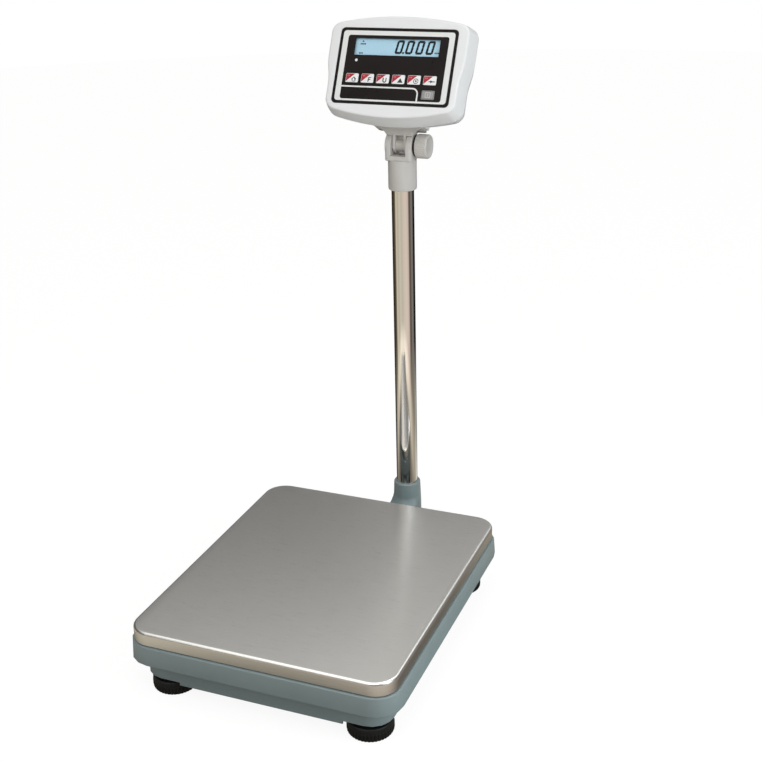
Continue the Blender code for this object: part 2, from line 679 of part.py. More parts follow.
def make_cell(materials, parent, platform):
    """An aluminium block with two round holes joined by a slot, which lets its middle bend."""
    half = CELL_LENGTH / 2
    block = box((-CELL_WIDTH / 2, CELL_WIDTH / 2), (-half, half), (0, CELL_HEIGHT))
    middle = CELL_HEIGHT / 2
    reach = CELL_WIDTH
    cuts = []
    for y in (-CELL_HOLE_SPREAD, CELL_HOLE_SPREAD):
        hole = along_x(rod(CELL_HOLE_RADIUS, -reach, reach, segments=16))
        cuts.append(moved(hole, Matrix.Translation((0, y, middle))))
    slot = (middle - CELL_SLOT / 2, middle + CELL_SLOT / 2)
    cuts.append(box((-reach, reach), (-CELL_HOLE_SPREAD, CELL_HOLE_SPREAD), slot))
    bored = CELL_BOLT_GRIP + 2 * MM
    for inset in CELL_BOLT_INSETS:
        radius = CELL_BOLT_RADIUS + GAP
        cuts.append(rod(radius, CELL_HEIGHT - bored, CELL_HEIGHT + bored, 0, inset - half, 12))
        cuts.append(rod(radius, -bored, bored, 0, half - inset, 12))
    shape(block, [], cuts)
    finish(block, "load_cell", materials["aluminium"], parent, (0, 0, CELL_BOTTOM_Z))

    ends_of_cell = (
        (1, "cell_spacer_lower", parent, CELL_PAD_Z + GAP),
        (-1, "cell_spacer_upper", platform, CELL_TOP_Z + GAP),
    )
    for side, name, holder, z in ends_of_cell:
        ends = sorted((side * half, side * (half - CELL_FOOT)))
        spacer = box((-CELL_WIDTH / 2, CELL_WIDTH / 2), ends, (0, CELL_SPACER))
        bores = [
            rod(CELL_BOLT_RADIUS + GAP, -CELL_SPACER, 2 * CELL_SPACER, 0, side * (half - inset), 12)
            for inset in CELL_BOLT_INSETS
        ]
        finish(shape(spacer, [], bores), name, materials["steel"], holder, (0, 0, z))

    for number, inset in enumerate(CELL_BOLT_INSETS, 1):
        lower_seat = CELL_PAD_Z - CELL_BOLT_HEAD
        length = CELL_BOTTOM_Z + CELL_BOLT_GRIP - lower_seat
        lower = screw(CELL_BOLT_RADIUS, length, CELL_BOLT_HEAD_RADIUS, CELL_BOLT_HEAD, 12)
        moved(lower, Matrix.Rotation(math.pi, 4, "X"))
        place = (0, half - inset, lower_seat)
        finish(lower, f"cell_bolt_lower_{number}", materials["steel"], parent, place)
        upper_seat = DECK_TOP_Z - UPPER_BOLT_SINK + GAP
        length = upper_seat - (CELL_TOP_Z - CELL_BOLT_GRIP)
        upper = screw(CELL_BOLT_RADIUS, length, CELL_BOLT_HEAD_RADIUS, CELL_BOLT_HEAD, 12)
        place = (0, -half + inset, upper_seat)
        finish(upper, f"cell_bolt_upper_{number}", materials["steel"], platform, place)


# Feet

def fluted_circle(radius, depth, flutes, z, points=2):
    """A circle whose edge dips by depth between its flutes."""
    count = flutes * points
    ring = []
    for i in range(count):
        angle = 2 * math.pi * i / count
        r = radius - depth * (0.5 - 0.5 * math.cos(flutes * angle))
        ring.append(Vector((r * math.cos(angle), r * math.sin(angle), z)))
    return ring


def make_feet(materials, base, empties):
    """A black wheel, fluted round its lower half, on a threaded stud, and the nut that locks the stud."""
    points = FOOT_FLUTES * 2
    top = FOOT_HEIGHT
    sink = top - STUD_SINK
    for number, (place, empty) in enumerate(empties, 1):
        wheel = loft(
            [
                circle(FOOT_RADIUS - 2 * FOOT_CHAMFER, 0, points),
                fluted_circle(FOOT_RADIUS, FOOT_FLUTE, FOOT_FLUTES, 2 * FOOT_CHAMFER),
                fluted_circle(FOOT_RADIUS, FOOT_FLUTE, FOOT_FLUTES, FLUTES_TOP_Z),
                circle(FOOT_RADIUS - FOOT_FLUTE, FLUTES_TOP_Z + FOOT_FLUTE, points),
                circle(FOOT_RADIUS - FOOT_FLUTE, top - FOOT_CHAMFER, points),
                circle(FOOT_RADIUS - FOOT_FLUTE - FOOT_CHAMFER, top, points),
            ]
        )
        hub = turned([(HUB_RADIUS + HUB_HEIGHT, top - HUB_HEIGHT), (HUB_RADIUS, top + HUB_HEIGHT)], 16)
        bore = rod(STUD_RADIUS + GAP, sink, 2 * top, segments=12)
        shape(wheel, [hub], [bore])
        finish(wheel, f"foot_wheel_{number}", materials["black"], empty)
        tip = STUD_RADIUS * 0.75
        shoulder = STUD_TOP_Z - STUD_RADIUS + tip
        stud = turned([(STUD_RADIUS, sink + GAP), (STUD_RADIUS, shoulder), (tip, STUD_TOP_Z)], 12)
        finish(stud, f"foot_stud_{number}", materials["steel"], empty)
        nut = loft([circle(LOCK_NUT_FLAT / math.sqrt(3), z, 6) for z in (0, LOCK_NUT_HEIGHT)])
        shape(nut, [], [rod(STUD_RADIUS + GAP, -LOCK_NUT_HEIGHT, 2 * LOCK_NUT_HEIGHT, segments=12)])
        seat = CORNER_RELIEF_Z - GAP - LOCK_NUT_HEIGHT
        finish(nut, f"lock_nut_{number}", materials["steel"], base, (place[0], place[1], seat))


# Column

def arm_line():
    """Half-width and place of each end of the arm: at the base, and where it meets the socket."""
    wall_y = PLATFORM_Y + BASE_LENGTH / 2 - COLUMN_Y + GAP
    return (ARM_HALF_WIDTH, wall_y), (SOCKET_FOOT_RADIUS * 0.94, -SOCKET_FOOT_RADIUS * 0.34)


def make_bracket(materials, parent):
    """A flange on the base's back wall, a hollow arm that narrows to the rear, and a socket with a fillet."""
    (_, wall_y), (tip_x, tip_y) = arm_line()
    lap = 1 * MM
    roots = ((-ARM_HALF_WIDTH, wall_y + lap), (ARM_HALF_WIDTH, wall_y + lap))
    arm = prism(roots + ((tip_x, tip_y), (-tip_x, tip_y)), ARM_BOTTOM_Z, ARM_TOP_Z)
    flange = box(
        (-FLANGE_HALF_WIDTH, FLANGE_HALF_WIDTH),
        (wall_y, wall_y + FLANGE),
        (ARM_BOTTOM_Z - lap, ARM_TOP_Z + 2 * lap),
    )
    socket = turned(
        [
            (SOCKET_FOOT_RADIUS, SOCKET_BOTTOM_Z),
            (SOCKET_FOOT_RADIUS, ARM_TOP_Z),
            (SOCKET_TOP_RADIUS, SOCKET_TOP_Z - SOCKET_EDGE),
            (SOCKET_TOP_RADIUS - SOCKET_EDGE * 0.8, SOCKET_TOP_Z),
        ],
        32,
    )
    inside, behind = wall_y + FLANGE + ARM_WALL, -SOCKET_FOOT_RADIUS - ARM_WALL
    hollow = prism(
        (
            (-ARM_HALF_WIDTH + ARM_WALL, inside),
            (ARM_HALF_WIDTH - ARM_WALL, inside),
            (SOCKET_FOOT_RADIUS - ARM_WALL, behind),
            (-SOCKET_FOOT_RADIUS + ARM_WALL, behind),
        ),
        ARM_BOTTOM_Z - ARM_WALL,
        ARM_TOP_Z - ARM_WALL,
    )
    floor = SOCKET_BOTTOM_Z + SOCKET_FLOOR
    cuts = [
        hollow,
        rod(TUBE_RADIUS + GAP, floor, SOCKET_TOP_Z + SOCKET_FLOOR, segments=32),
        rod(TUBE_RADIUS - SOCKET_WALL, SOCKET_BOTTOM_Z - SOCKET_FLOOR, floor + SOCKET_FLOOR, segments=16),
    ]
    for z in SOCKET_SCREWS_Z:
        bore = along_y(rod(SOCKET_SCREW_RADIUS + GAP, TUBE_RADIUS / 2, 2 * SOCKET_FOOT_RADIUS, segments=12))
        cuts.append(moved(bore, Matrix.Translation((0, 0, z))))
    for x in flange_bolt_places():
        bore = along_y(rod(FLANGE_BOLT_RADIUS + 2 * GAP, wall_y - FLANGE, wall_y + 2 * FLANGE, segments=8))
        cuts.append(moved(bore, Matrix.Translation((x, 0, flange_bolt_z()))))
    shape(arm, [flange, socket, socket_fillet()], cuts)
    finish(arm, "column_bracket", materials["painted"], parent)

    head_radius, head_height = SOCKET_SCREW_HEAD
    for number, z in enumerate(SOCKET_SCREWS_Z, 1):
        body = screw(SOCKET_SCREW_RADIUS, SOCKET_SCREW_LENGTH, head_radius, head_height, 12, SOCKET_SCREW_KEY)
        top = SOCKET_TOP_Z - SOCKET_EDGE
        widening = (top - z + head_radius) / (top - ARM_TOP_Z)
        seat = SOCKET_TOP_RADIUS + min(widening, 1) * SOCKET_FLARE + GAP
        finish(along_y(body), f"socket_screw_{number}", materials["steel"], parent, (0, seat, z))
    for number, x in enumerate(flange_bolt_places(), 1):
        bolt = along_y(screw(FLANGE_BOLT_RADIUS, FLANGE_BOLT_LENGTH, *FLANGE_BOLT_HEAD))
        place = (x, wall_y + FLANGE + GAP, flange_bolt_z())
        finish(bolt, f"bracket_bolt_{number}", materials["steel"], parent, place)


def socket_fillet():
    """The hollow curve from the socket's front down to the arm's top, ended just inside the arm's sides."""
    (root_x, root_y), (tip_x, tip_y) = arm_line()
    lap = 1.2 * MM
    profile = [(SOCKET_FOOT_RADIUS + SOCKET_FILLET, ARM_TOP_Z - lap)]
    for step in range(FILLET_STEPS + 1):
        angle = math.pi / 2 * step / FILLET_STEPS
        out = (SOCKET_FILLET + lap) * (1 - math.sin(angle)) - lap
        z = ARM_TOP_Z - GAP + SOCKET_FILLET * (1 - math.cos(angle))
        profile.append((SOCKET_FOOT_RADIUS + out, z))
    far = SOCKET_FOOT_RADIUS + 2 * SOCKET_FILLET
    heights = (ARM_BOTTOM_Z, SOCKET_TOP_Z)
    cuts = [box((-far, far), (0, far), heights)]
    for side in (-1, 1):
        root, tip = root_x - GAP, tip_x - 2 * GAP
        outline = ((root, root_y), (tip, tip_y), (tip, far), (root + far, far), (root + far, root_y))
        cuts.append(prism([(side * x, y) for x, y in outline], *heights))
    return shape(turned(profile, 32), [], cuts)


def make_tube(material, parent):
    low = SOCKET_BOTTOM_Z + SOCKET_FLOOR + GAP
    high = COLLAR_TOP_Z - COLLAR_ROOF - GAP
    inner = TUBE_RADIUS - TUBE_WALL
    tube = turned([(inner, low), (TUBE_RADIUS, low), (TUBE_RADIUS, high), (inner, high)], 32, endless=True)
    finish(tube, "column_tube", material, parent)


def make_level(materials, parent):
    """A round bubble level let into a cup on the arm."""
    edge = 1 * MM
    profile = [(LEVEL_RADIUS, 0), (LEVEL_RADIUS, LEVEL_HEIGHT - edge), (LEVEL_RADIUS - edge, LEVEL_HEIGHT)]
    y = PLATFORM_Y + BASE_LENGTH / 2 - COLUMN_Y + FLANGE + LEVEL_BEHIND_FLANGE
    finish(turned(profile, 16), "spirit_level", materials["level"], parent, (0, y, ARM_TOP_Z + GAP))


# Yoke and clamp

def make_yoke(material, parent):
    """A sleeve on the tube, a square block on it, and two ears with round tops about the tilt axis."""
    sleeve = turned(
        [
            (COLLAR_RADIUS - COLLAR_EDGE, COLLAR_BOTTOM_Z),
            (COLLAR_RADIUS - COLLAR_EDGE * 0.3, COLLAR_BOTTOM_Z + COLLAR_EDGE * 0.3),
            (COLLAR_RADIUS, COLLAR_BOTTOM_Z + COLLAR_EDGE),
            (COLLAR_RADIUS, COLLAR_TOP_Z + YOKE_EDGE / 2),
        ],
        32,
    )
    width, depth = 2 * EAR_OUT, 2 * YOKE_HALF_DEPTH
    corner, edge = YOKE_CORNER, YOKE_EDGE
    block = loft(
        [
            plate_ring(width - 2 * edge, depth - 2 * edge, corner - edge, COLLAR_TOP_Z, 4),
            plate_ring(width, depth, corner, COLLAR_TOP_Z + edge, 4),
            plate_ring(width, depth, corner, PIVOT_Z - 4 * MM, 4),
            plate_ring(width, 2 * EAR_RADIUS, corner, PIVOT_Z, 4),
        ]
    )
    ear = along_x(rod(EAR_RADIUS, -EAR_OUT, EAR_OUT, segments=36))
    moved(ear, Matrix.Translation((0, 0, PIVOT_Z)))
    reach = 60 * MM
    between = box((-EAR_GAP / 2, EAR_GAP / 2), (-reach, reach), (YOKE_FLOOR_Z, PIVOT_Z + reach))
    bolt_bore = along_x(rod(CLAMP_BOLT_RADIUS + GAP, -reach, reach, segments=16))
    moved(bolt_bore, Matrix.Translation((0, 0, PIVOT_Z)))
    tube_bore = rod(TUBE_RADIUS + GAP, COLLAR_BOTTOM_Z - 9 * MM, COLLAR_TOP_Z - COLLAR_ROOF, segments=32)
    cable_hole = rod(CABLE_HOLE_RADIUS, COLLAR_TOP_Z - 2 * COLLAR_ROOF, PIVOT_Z, segments=16)
    shape(sleeve, [block, ear], [between, bolt_bore, tube_bore, cable_hole])
    finish(sleeve, "tilt_yoke", material, parent)


def make_clamp(materials, parent, knob_axis):
    """A round-headed bolt through both ears, and the fluted knob that pulls them together."""
    seat = EAR_OUT + GAP
    reach = EAR_OUT + KNOB_STANDOFF + KNOB_LENGTH - 5 * MM
    bolt = turned(
        [
            (CLAMP_HEAD_RADIUS * 0.4, -seat - CLAMP_HEAD),
            (CLAMP_HEAD_RADIUS * 0.84, -seat - CLAMP_HEAD * 0.7),
            (CLAMP_HEAD_RADIUS, -seat - CLAMP_HEAD * 0.26),
            (CLAMP_HEAD_RADIUS, -seat),
            (CLAMP_BOLT_RADIUS, -seat),
            (CLAMP_BOLT_RADIUS, reach - 1 * MM),
            (CLAMP_BOLT_RADIUS * 0.75, reach),
        ],
        20,
    )
    finish(along_x(bolt), "clamp_bolt", materials["steel"], parent, (0, 0, PIVOT_Z))
    low = EAR_OUT + KNOB_STANDOFF
    high = low + KNOB_LENGTH
    flute = 0.9 * MM
    step = 1.5 * MM
    count = KNOB_FLUTES * KNOB_POINTS
    knob = loft(
        [
            circle(KNOB_HUB_RADIUS, seat, count),
            circle(KNOB_HUB_RADIUS, low, count),
            circle(KNOB_RADIUS - step, low, count),
            fluted_circle(KNOB_RADIUS, flute, KNOB_FLUTES, low + step, KNOB_POINTS),
            fluted_circle(KNOB_RADIUS, flute, KNOB_FLUTES, high - step, KNOB_POINTS),
            circle(KNOB_RADIUS - step - flute, high, count),
            circle(KNOB_RADIUS - 4 * MM, high, count),
            circle(KNOB_RADIUS - 5 * MM, high - 1.5 * MM, count),
        ]
    )
    bore = rod(CLAMP_BOLT_RADIUS + GAP, 0, reach + 1 * MM, segments=20)
    shape(knob, [], [bore])
    finish(along_x(knob), "clamp_knob", materials["white"], knob_axis)


# Indicator head. A place on it is (x, v, depth): across the panel, up it, and back from the face.

def on_head(x, v, depth):
    return Vector((x, depth - FACE_AHEAD, PANEL_UP + v))


def head_block(x, v, depth, name="tool"):
    """A block given by its spans across, up and behind the face."""
    low, high = on_head(x[0], v[0], depth[0]), on_head(x[1], v[1], depth[1])
    return box((low.x, high.x), (low.y, high.y), (low.z, high.z), name)


def head_prism(outline, depth_low, depth_high, x=0.0, v=0.0):
    """An outline across and up the face, carried from one depth to another."""
    rings = [[on_head(x + p[0], v + p[1], depth) for p in outline] for depth in (depth_low, depth_high)]
    return loft(rings)


def head_pin(x, v, radius, depth_low, depth_high, segments=12):
    points = [(p.x, p.y) for p in circle(radius, 0, segments)]
    return head_prism(points, depth_low, depth_high, x, v)


def head_outline(inset):
    """The head from the front: arched top, boat-shaped bottom and sides waisted below the middle."""
    nominal = PANEL_WIDTH / 2 + HEAD_BORDER
    points = []
    for p in rounded_rectangle(2 * nominal, 2 * HEAD_HALF_HEIGHT, HEAD_CORNER, 4, 6):
        across, up = p.x / nominal, p.y / HEAD_HALF_HEIGHT
        half_width = nominal + HEAD_WAIST * math.tanh((p.y - WAIST_V) / WAIST_SPAN)
        x = across * (half_width - inset)
        rise, curve = (CROWN, CROWN_CURVE) if up > 0 else (KEEL, KEEL_CURVE)
        arch = HEAD_HALF_HEIGHT + rise - curve * x * x
        points.append((x, up * (arch - inset)))
    return points


def back_depth(v):
    """Depth of the sloping back at a height on the face."""
    share = (v + HEAD_HALF_HEIGHT) / (2 * HEAD_HALF_HEIGHT)
    return BACK_DEPTH_LOW + (BACK_DEPTH_HIGH - BACK_DEPTH_LOW) * share


def head_ring(inset, depth, share=0.0, back=0.0):
    """A ring at one depth, or the given share of the way from it to the sloping back."""
    ring = []
    for x, v in head_outline(inset):
        end = back_depth(v) - back
        ring.append(on_head(x, v, depth + share * (end - depth)))
    return ring


def panel_place(left, top, right, bottom):
    """Centre and size of a rectangle given from the panel's top left corner."""
    x = (left + right) / 2 - PANEL_WIDTH / 2
    v = PANEL_HEIGHT / 2 - (top + bottom) / 2
    return x, v, right - left, bottom - top


def key_places():
    """Centre of each key on the panel, the last one being the power key, which is a little smaller."""
    places = []
    for i in range(KEY_COUNT):
        left = KEY_LEFT + i * KEY_PITCH
        places.append(panel_place(left, KEY_TOP, left + KEY_WIDTH, KEY_TOP + KEY_HEIGHT))
    places.append(panel_place(*POWER_KEY))
    return places


def post_places():
    x, v = BOARD_WIDTH / 2 - 7 * MM, BOARD_HEIGHT / 2 - 6 * MM
    return [(-x, -v), (x, -v), (x, v), (-x, v)]


def face_cuts():
    """Cutters for the display's window and the keys' holes, which the shell and the panel share."""
    x, v, width, height = panel_place(*DISPLAY)
    window = rounded_rectangle(width + 2 * GAP, height + 2 * GAP, 1 * MM, 2)
    cuts = [head_prism(window, *THROUGH_FACE, x, v)]
    for x, v, width, height in key_places():
        hole = rounded_rectangle(width + 2 * GAP, height + 2 * GAP, KEY_CORNER + GAP, 1)
        cuts.append(head_prism(hole, *THROUGH_FACE, x, v))
    return cuts


def make_front_shell(material, parent):
    """A dished shell with a rolled front edge, a pocket for the panel, and posts for the board."""
    outer = [(3 * MM, 0), (1 * MM, 0.8 * MM), (0, 2.6 * MM), (-SHELL_FLARE, FRONT_DEPTH)]
    inner = [(SHELL_WALL - SHELL_FLARE, FRONT_DEPTH), (SHELL_WALL, 4 * MM), (SHELL_WALL + 2 * MM, SHELL_WALL)]
    rings = [head_ring(inset, depth) for inset, depth in outer + inner]
    shell = loft(rings)
    posts = [head_pin(x, v, POST_RADIUS, SHELL_WALL / 2, BOARD_DEPTH - GAP) for x, v in post_places()]
    pocket = rounded_rectangle(PANEL_WIDTH + 2 * GAP, PANEL_HEIGHT + 2 * GAP, PANEL_CORNER + GAP)
    cuts = [head_prism(pocket, THROUGH_FACE[0], PANEL_POCKET), *face_cuts()]
    shape(shell, posts, cuts)
    finish(shell, "front_shell", material, parent)


def on_back(x, w, out):
    """A place on the sloping back: across, up along the slope from the panel's middle, and out from it."""
    slope = math.atan2(BACK_DEPTH_LOW - BACK_DEPTH_HIGH, 2 * HEAD_HALF_HEIGHT)
    start = on_head(x, 0, back_depth(0))
    up = Vector((0, -math.sin(slope), math.cos(slope)))
    away = Vector((0, math.cos(slope), math.sin(slope)))
    return start + w * up + out * away


def back_prism(outline, out_low, out_high, x=0.0, w=0.0):
    rings = [[on_back(x + p[0], w + p[1], out) for p in outline] for out in (out_low, out_high)]
    return loft(rings)


def battery_middle():
    return BATTERY_LOW + BATTERY_HEIGHT / 2


def make_rear_shell(material, parent):
    """A tapering shell with a tongue, a cradle for the battery and a recessed pad for the knuckle."""
    seam = FRONT_DEPTH + GAP
    outer = [
        (-SHELL_FLARE, seam, 0),
        (-SHELL_FLARE + 0.5 * MM, seam + 4 * MM, 0),
        (0, seam + 4 * MM, 0.35),
        (5 * MM, seam + 4 * MM, 0.7),
        (10 * MM, seam + 4 * MM, 0.92),
        (14 * MM, seam + 4 * MM, 0.985),
        (18 * MM, seam + 4 * MM, 1),
    ]
    wall = SHELL_WALL
    tongue_out = wall - SHELL_FLARE + GAP + 0.6 * MM
    inner = [
        (wall - SHELL_FLARE + TONGUE_WALL + GAP + 0.6 * MM, seam - TONGUE, 0),
        (wall - SHELL_FLARE + TONGUE_WALL + GAP + 0.6 * MM, seam + 4 * MM, 0),
        (wall, seam + 4 * MM, 0.35),
        (5 * MM + wall, seam + 4 * MM, 0.7),
        (11 * MM + wall, seam + 4 * MM, 0.97),
        (18 * MM, seam + 4 * MM, 1),
    ]
    rings = [head_ring(inset, depth, share, wall) for inset, depth, share in inner[::-1]]
    rings.append(head_ring(tongue_out, seam - TONGUE))
    rings.append(head_ring(tongue_out, seam))
    rings += [head_ring(inset, depth, share) for inset, depth, share in outer]
    shell = loft(rings)

    shelf_low = -HEAD_HALF_HEIGHT + 3 * MM
    deep = BATTERY_DEPTH + BATTERY_THICKNESS
    added = [
        head_block((x - 3 * MM, x + 3 * MM), (shelf_low, BATTERY_LOW - GAP), (FRONT_DEPTH + 9 * MM, deep))
        for x in (-32 * MM, 0, 32 * MM)
    ]
    seat = KNUCKLE_FLANGE_Z[1] + GAP - PANEL_UP
    seat_front = KNUCKLE_FLANGE_DEPTH[0] - 2 * GAP
    half = KNUCKLE_HALF_WIDTH + 2 * GAP
    below = seat - 30 * MM
    pad_top = seat + PAD_RISE
    end = back_depth(pad_top) - 1 * MM
    pad = head_block(
        (-half - PAD_WALL, half + PAD_WALL), (seat - PAD_WALL, pad_top), (seat_front - PAD_WALL, end)
    )
    added.append(pad)
    recess = head_block((-half, half), (below, seat), (seat_front, end + 20 * MM))
    width, height = BATTERY_WIDTH + 2 * DOOR_CLEARANCE, BATTERY_HEIGHT + 2 * DOOR_CLEARANCE
    opening = rounded_rectangle(width, height, 3 * MM, 3)
    bore = [(p.x, p.y) for p in circle(BORE_RADIUS + GAP, 0, 12)]
    cuts = [
        recess,
        back_prism(opening, *THROUGH_BACK, 0, battery_middle()),
        back_prism(bore, *THROUGH_BACK, *inlet_place()),
        back_prism(bore, *THROUGH_BACK, *gland_place()),
    ]
    shape(shell, added, cuts)
    finish(shell, "rear_shell", material, parent)


def inlet_place():
    return PANEL_WIDTH / 2 - 22 * MM, -38 * MM


def gland_place():
    return 22 * MM - PANEL_WIDTH / 2, -38 * MM


def make_door(material, parent):
    """The battery cover: a plate over the opening with a rib inside it all round."""
    width, height = BATTERY_WIDTH + 2 * DOOR_CLEARANCE, BATTERY_HEIGHT + 2 * DOOR_CLEARANCE
    w = battery_middle()
    wide, tall, corner = width + 2 * DOOR_MARGIN, height + 2 * DOOR_MARGIN, 5 * MM
    outer = rounded_rectangle(wide, tall, corner, 4)
    edge = rounded_rectangle(wide - 2 * DOOR_EDGE, tall - 2 * DOOR_EDGE, corner - DOOR_EDGE, 4)
    rings = [
        [on_back(p.x, w + p.y, GAP) for p in outer],
        [on_back(p.x, w + p.y, GAP + DOOR_SHEET - DOOR_EDGE) for p in outer],
        [on_back(p.x, w + p.y, GAP + DOOR_SHEET) for p in edge],
    ]
    door = loft(rings)
    rib_out = rounded_rectangle(width - 2 * GAP, height - 2 * GAP, 3 * MM, 3)
    rib_in = rounded_rectangle(width - 4 * MM, height - 4 * MM, 2 * MM, 3)
    rib = back_prism(rib_out, -DOOR_RIB, GAP + 0.5 * MM, 0, w)
    shape(rib, [], [back_prism(rib_in, -DOOR_RIB - 5 * MM, GAP + 9 * MM, 0, w)])
    notch = rounded_rectangle(*DOOR_GRIP, 4 * MM, 4)
    grip = back_prism(notch, DOOR_SHEET - 0.7 * MM, 4 * DOOR_SHEET, 0, w + GRIP_UP)
    shape(door, [rib], [grip])
    finish(door, "battery_door", material, parent)


def make_sockets(materials, parent):
    """The power inlet and the gland of the load cell's lead, both through the back."""
    inlet_rim, inlet_mouth, inlet_height = 8 * MM, 3.6 * MM, 2.8 * MM
    gland_nut, gland_cap, gland_mouth = 9 * MM, 6.4 * MM, 3 * MM
    stem = [(BORE_RADIUS, -9 * MM), (BORE_RADIUS, GAP)]
    inlet = [
        *stem,
        (inlet_rim, GAP),
        (inlet_rim, inlet_height - 0.6 * MM),
        (inlet_rim - 0.6 * MM, inlet_height),
        (inlet_mouth, inlet_height),
        (inlet_mouth, -5 * MM),
    ]
    gland = [
        *stem,
        (gland_nut, GAP),
        (gland_nut, 5 * MM),
        (gland_nut - 2 * MM, 6 * MM),
        (gland_cap, 11 * MM),
        (gland_mouth, 12 * MM),
        (gland_mouth, -7 * MM),
    ]
    for name, (x, w), profile in (
        ("power_inlet", inlet_place(), inlet),
        ("cable_gland", gland_place(), gland),
    ):
        rings = [[on_back(x + p.x, w + p.y, out) for p in circle(r, 0, 12)] for r, out in profile]
        finish(loft(rings), name, materials["black"], parent)


def make_knuckle(material, parent):
    """A flange under the head, a neck that flares into it and is hollowed to clear the ears, and between the
    ears two round cheeks with a web and a smaller barrel."""
    low, high = KNUCKLE_FLANGE_Z
    y_low, y_high = (depth - FACE_AHEAD for depth in KNUCKLE_FLANGE_DEPTH)
    flange = moved(
        prism(rounded_rectangle(2 * KNUCKLE_HALF_WIDTH, y_high - y_low, KNUCKLE_CORNER, 4), low, high),
        Matrix.Translation((0, (y_low + y_high) / 2, 0)),
    )
    upright = Matrix.Rotation(HEAD_LEAN, 4, "X")
    neck = loft([plate_ring(2 * x, 2 * y, KNUCKLE_CORNER, z) for z, x, y in NECK_RINGS])
    moved(neck, upright)
    far = 60 * MM
    top = box((-far, far), (-2 * far, far), (high, high + far))
    behind = box((-far, far), (y_high + 4 * MM, 2 * far), (-far, 2 * far))
    saddle = along_x(rod(SADDLE_RADIUS, -far, far, segments=40))
    shape(flange, [neck], [top, behind, saddle])
    half_gap = EAR_GAP / 2 - GAP
    steps = 16
    round_end = [math.pi * (1 + i / steps) for i in range(steps + 1)]
    outline = [(CHEEK_RADIUS * math.cos(t), CHEEK_RADIUS * math.sin(t)) for t in round_end]
    outline += [(CHEEK_RADIUS * CHEEK_TAPER, high), (-CHEEK_RADIUS * CHEEK_TAPER, high)]
    cheek_out = half_gap - CHEEK_RECESS
    cheeks = []
    for side in (-1, 1):
        spans = sorted((side * cheek_out, side * (cheek_out - CHEEK_THICKNESS)))
        cheeks.append(moved(loft([[Vector((x, y, z)) for y, z in outline] for x in spans]), upright))
    covered = cheek_out - CHEEK_THICKNESS / 4
    web = moved(box((-covered, covered), WEB_DEPTH, (0, high)), upright)
    cap = box((-far, far), (-far, far), (high - 1 * MM, high + far))
    shape(web, cheeks, [cap])
    barrel = along_x(rod(BARREL_RADIUS, -half_gap, half_gap, segments=32))
    bore = along_x(rod(CLAMP_BOLT_RADIUS + GAP, -far, far, segments=16))
    shape(flange, [web, barrel], [bore])
    finish(flange, "tilt_knuckle", material, parent)


def make_panel(materials, parent):
    """The panel sheet with its windows, the display's lens and module, the board and the battery."""
    flush = PANEL_POCKET - GAP - PANEL_SHEET
    outline = rounded_rectangle(PANEL_WIDTH, PANEL_HEIGHT, PANEL_CORNER)
    sheet = head_prism(outline, flush, PANEL_POCKET - GAP)
    finish(shape(sheet, [], face_cuts()), "keypad_overlay", materials["panel"], parent)

    x, v, width, height = panel_place(*DISPLAY)
    back = SHELL_WALL + GAP
    lens = head_prism(rounded_rectangle(width, height, 0.7 * MM, 2), flush, back + LENS_RIM / 2, x, v)
    wider = rounded_rectangle(width + 2 * MODULE_MARGIN, height + 2 * MODULE_MARGIN - 1 * MM, 2 * MM, 3)
    rim = head_prism(wider, back, back + LENS_RIM, x, v)
    finish(shape(lens, [rim]), "lcd_window", materials["lens"], parent)

    front = back + LENS_RIM + GAP
    module = head_block(
        (x - width / 2 - MODULE_MARGIN, x + width / 2 + MODULE_MARGIN),
        (v - height / 2 - MODULE_MARGIN, v + height / 2 + MODULE_MARGIN),
        (front, BOARD_DEPTH - GAP),
    )
    finish(module, "lcd_module", materials["display"], parent)

    outline = rounded_rectangle(BOARD_WIDTH, BOARD_HEIGHT, 3 * MM, 2)
    board = head_prism(outline, BOARD_DEPTH, BOARD_DEPTH + BOARD_SHEET)
    switches = [
        head_block(
            (kx - SWITCH / 2, kx + SWITCH / 2),
            (kv - SWITCH / 2, kv + SWITCH / 2),
            (KEY_DEPTH + KEY_TRAVEL + GAP, BOARD_DEPTH + BOARD_SHEET / 2),
        )
        for kx, kv, _, _ in key_places()
    ]
    chip = head_block((-30 * MM, -6 * MM), (5 * MM, 29 * MM), (BOARD_DEPTH + 1 * MM, BOARD_DEPTH + 4 * MM))
    finish(shape(board, switches + [chip]), "main_board", materials["board"], parent)

    half = BATTERY_WIDTH / 2
    battery = head_block(
        (-half, half),
        (BATTERY_LOW, BATTERY_LOW + BATTERY_HEIGHT),
        (BATTERY_DEPTH, BATTERY_DEPTH + BATTERY_THICKNESS),
    )
    bevel = battery.modifiers.new("edges", "BEVEL")
    bevel.width = BATTERY_EDGE
    bevel.segments = 2
    finish(battery, "battery", materials["battery"], parent)


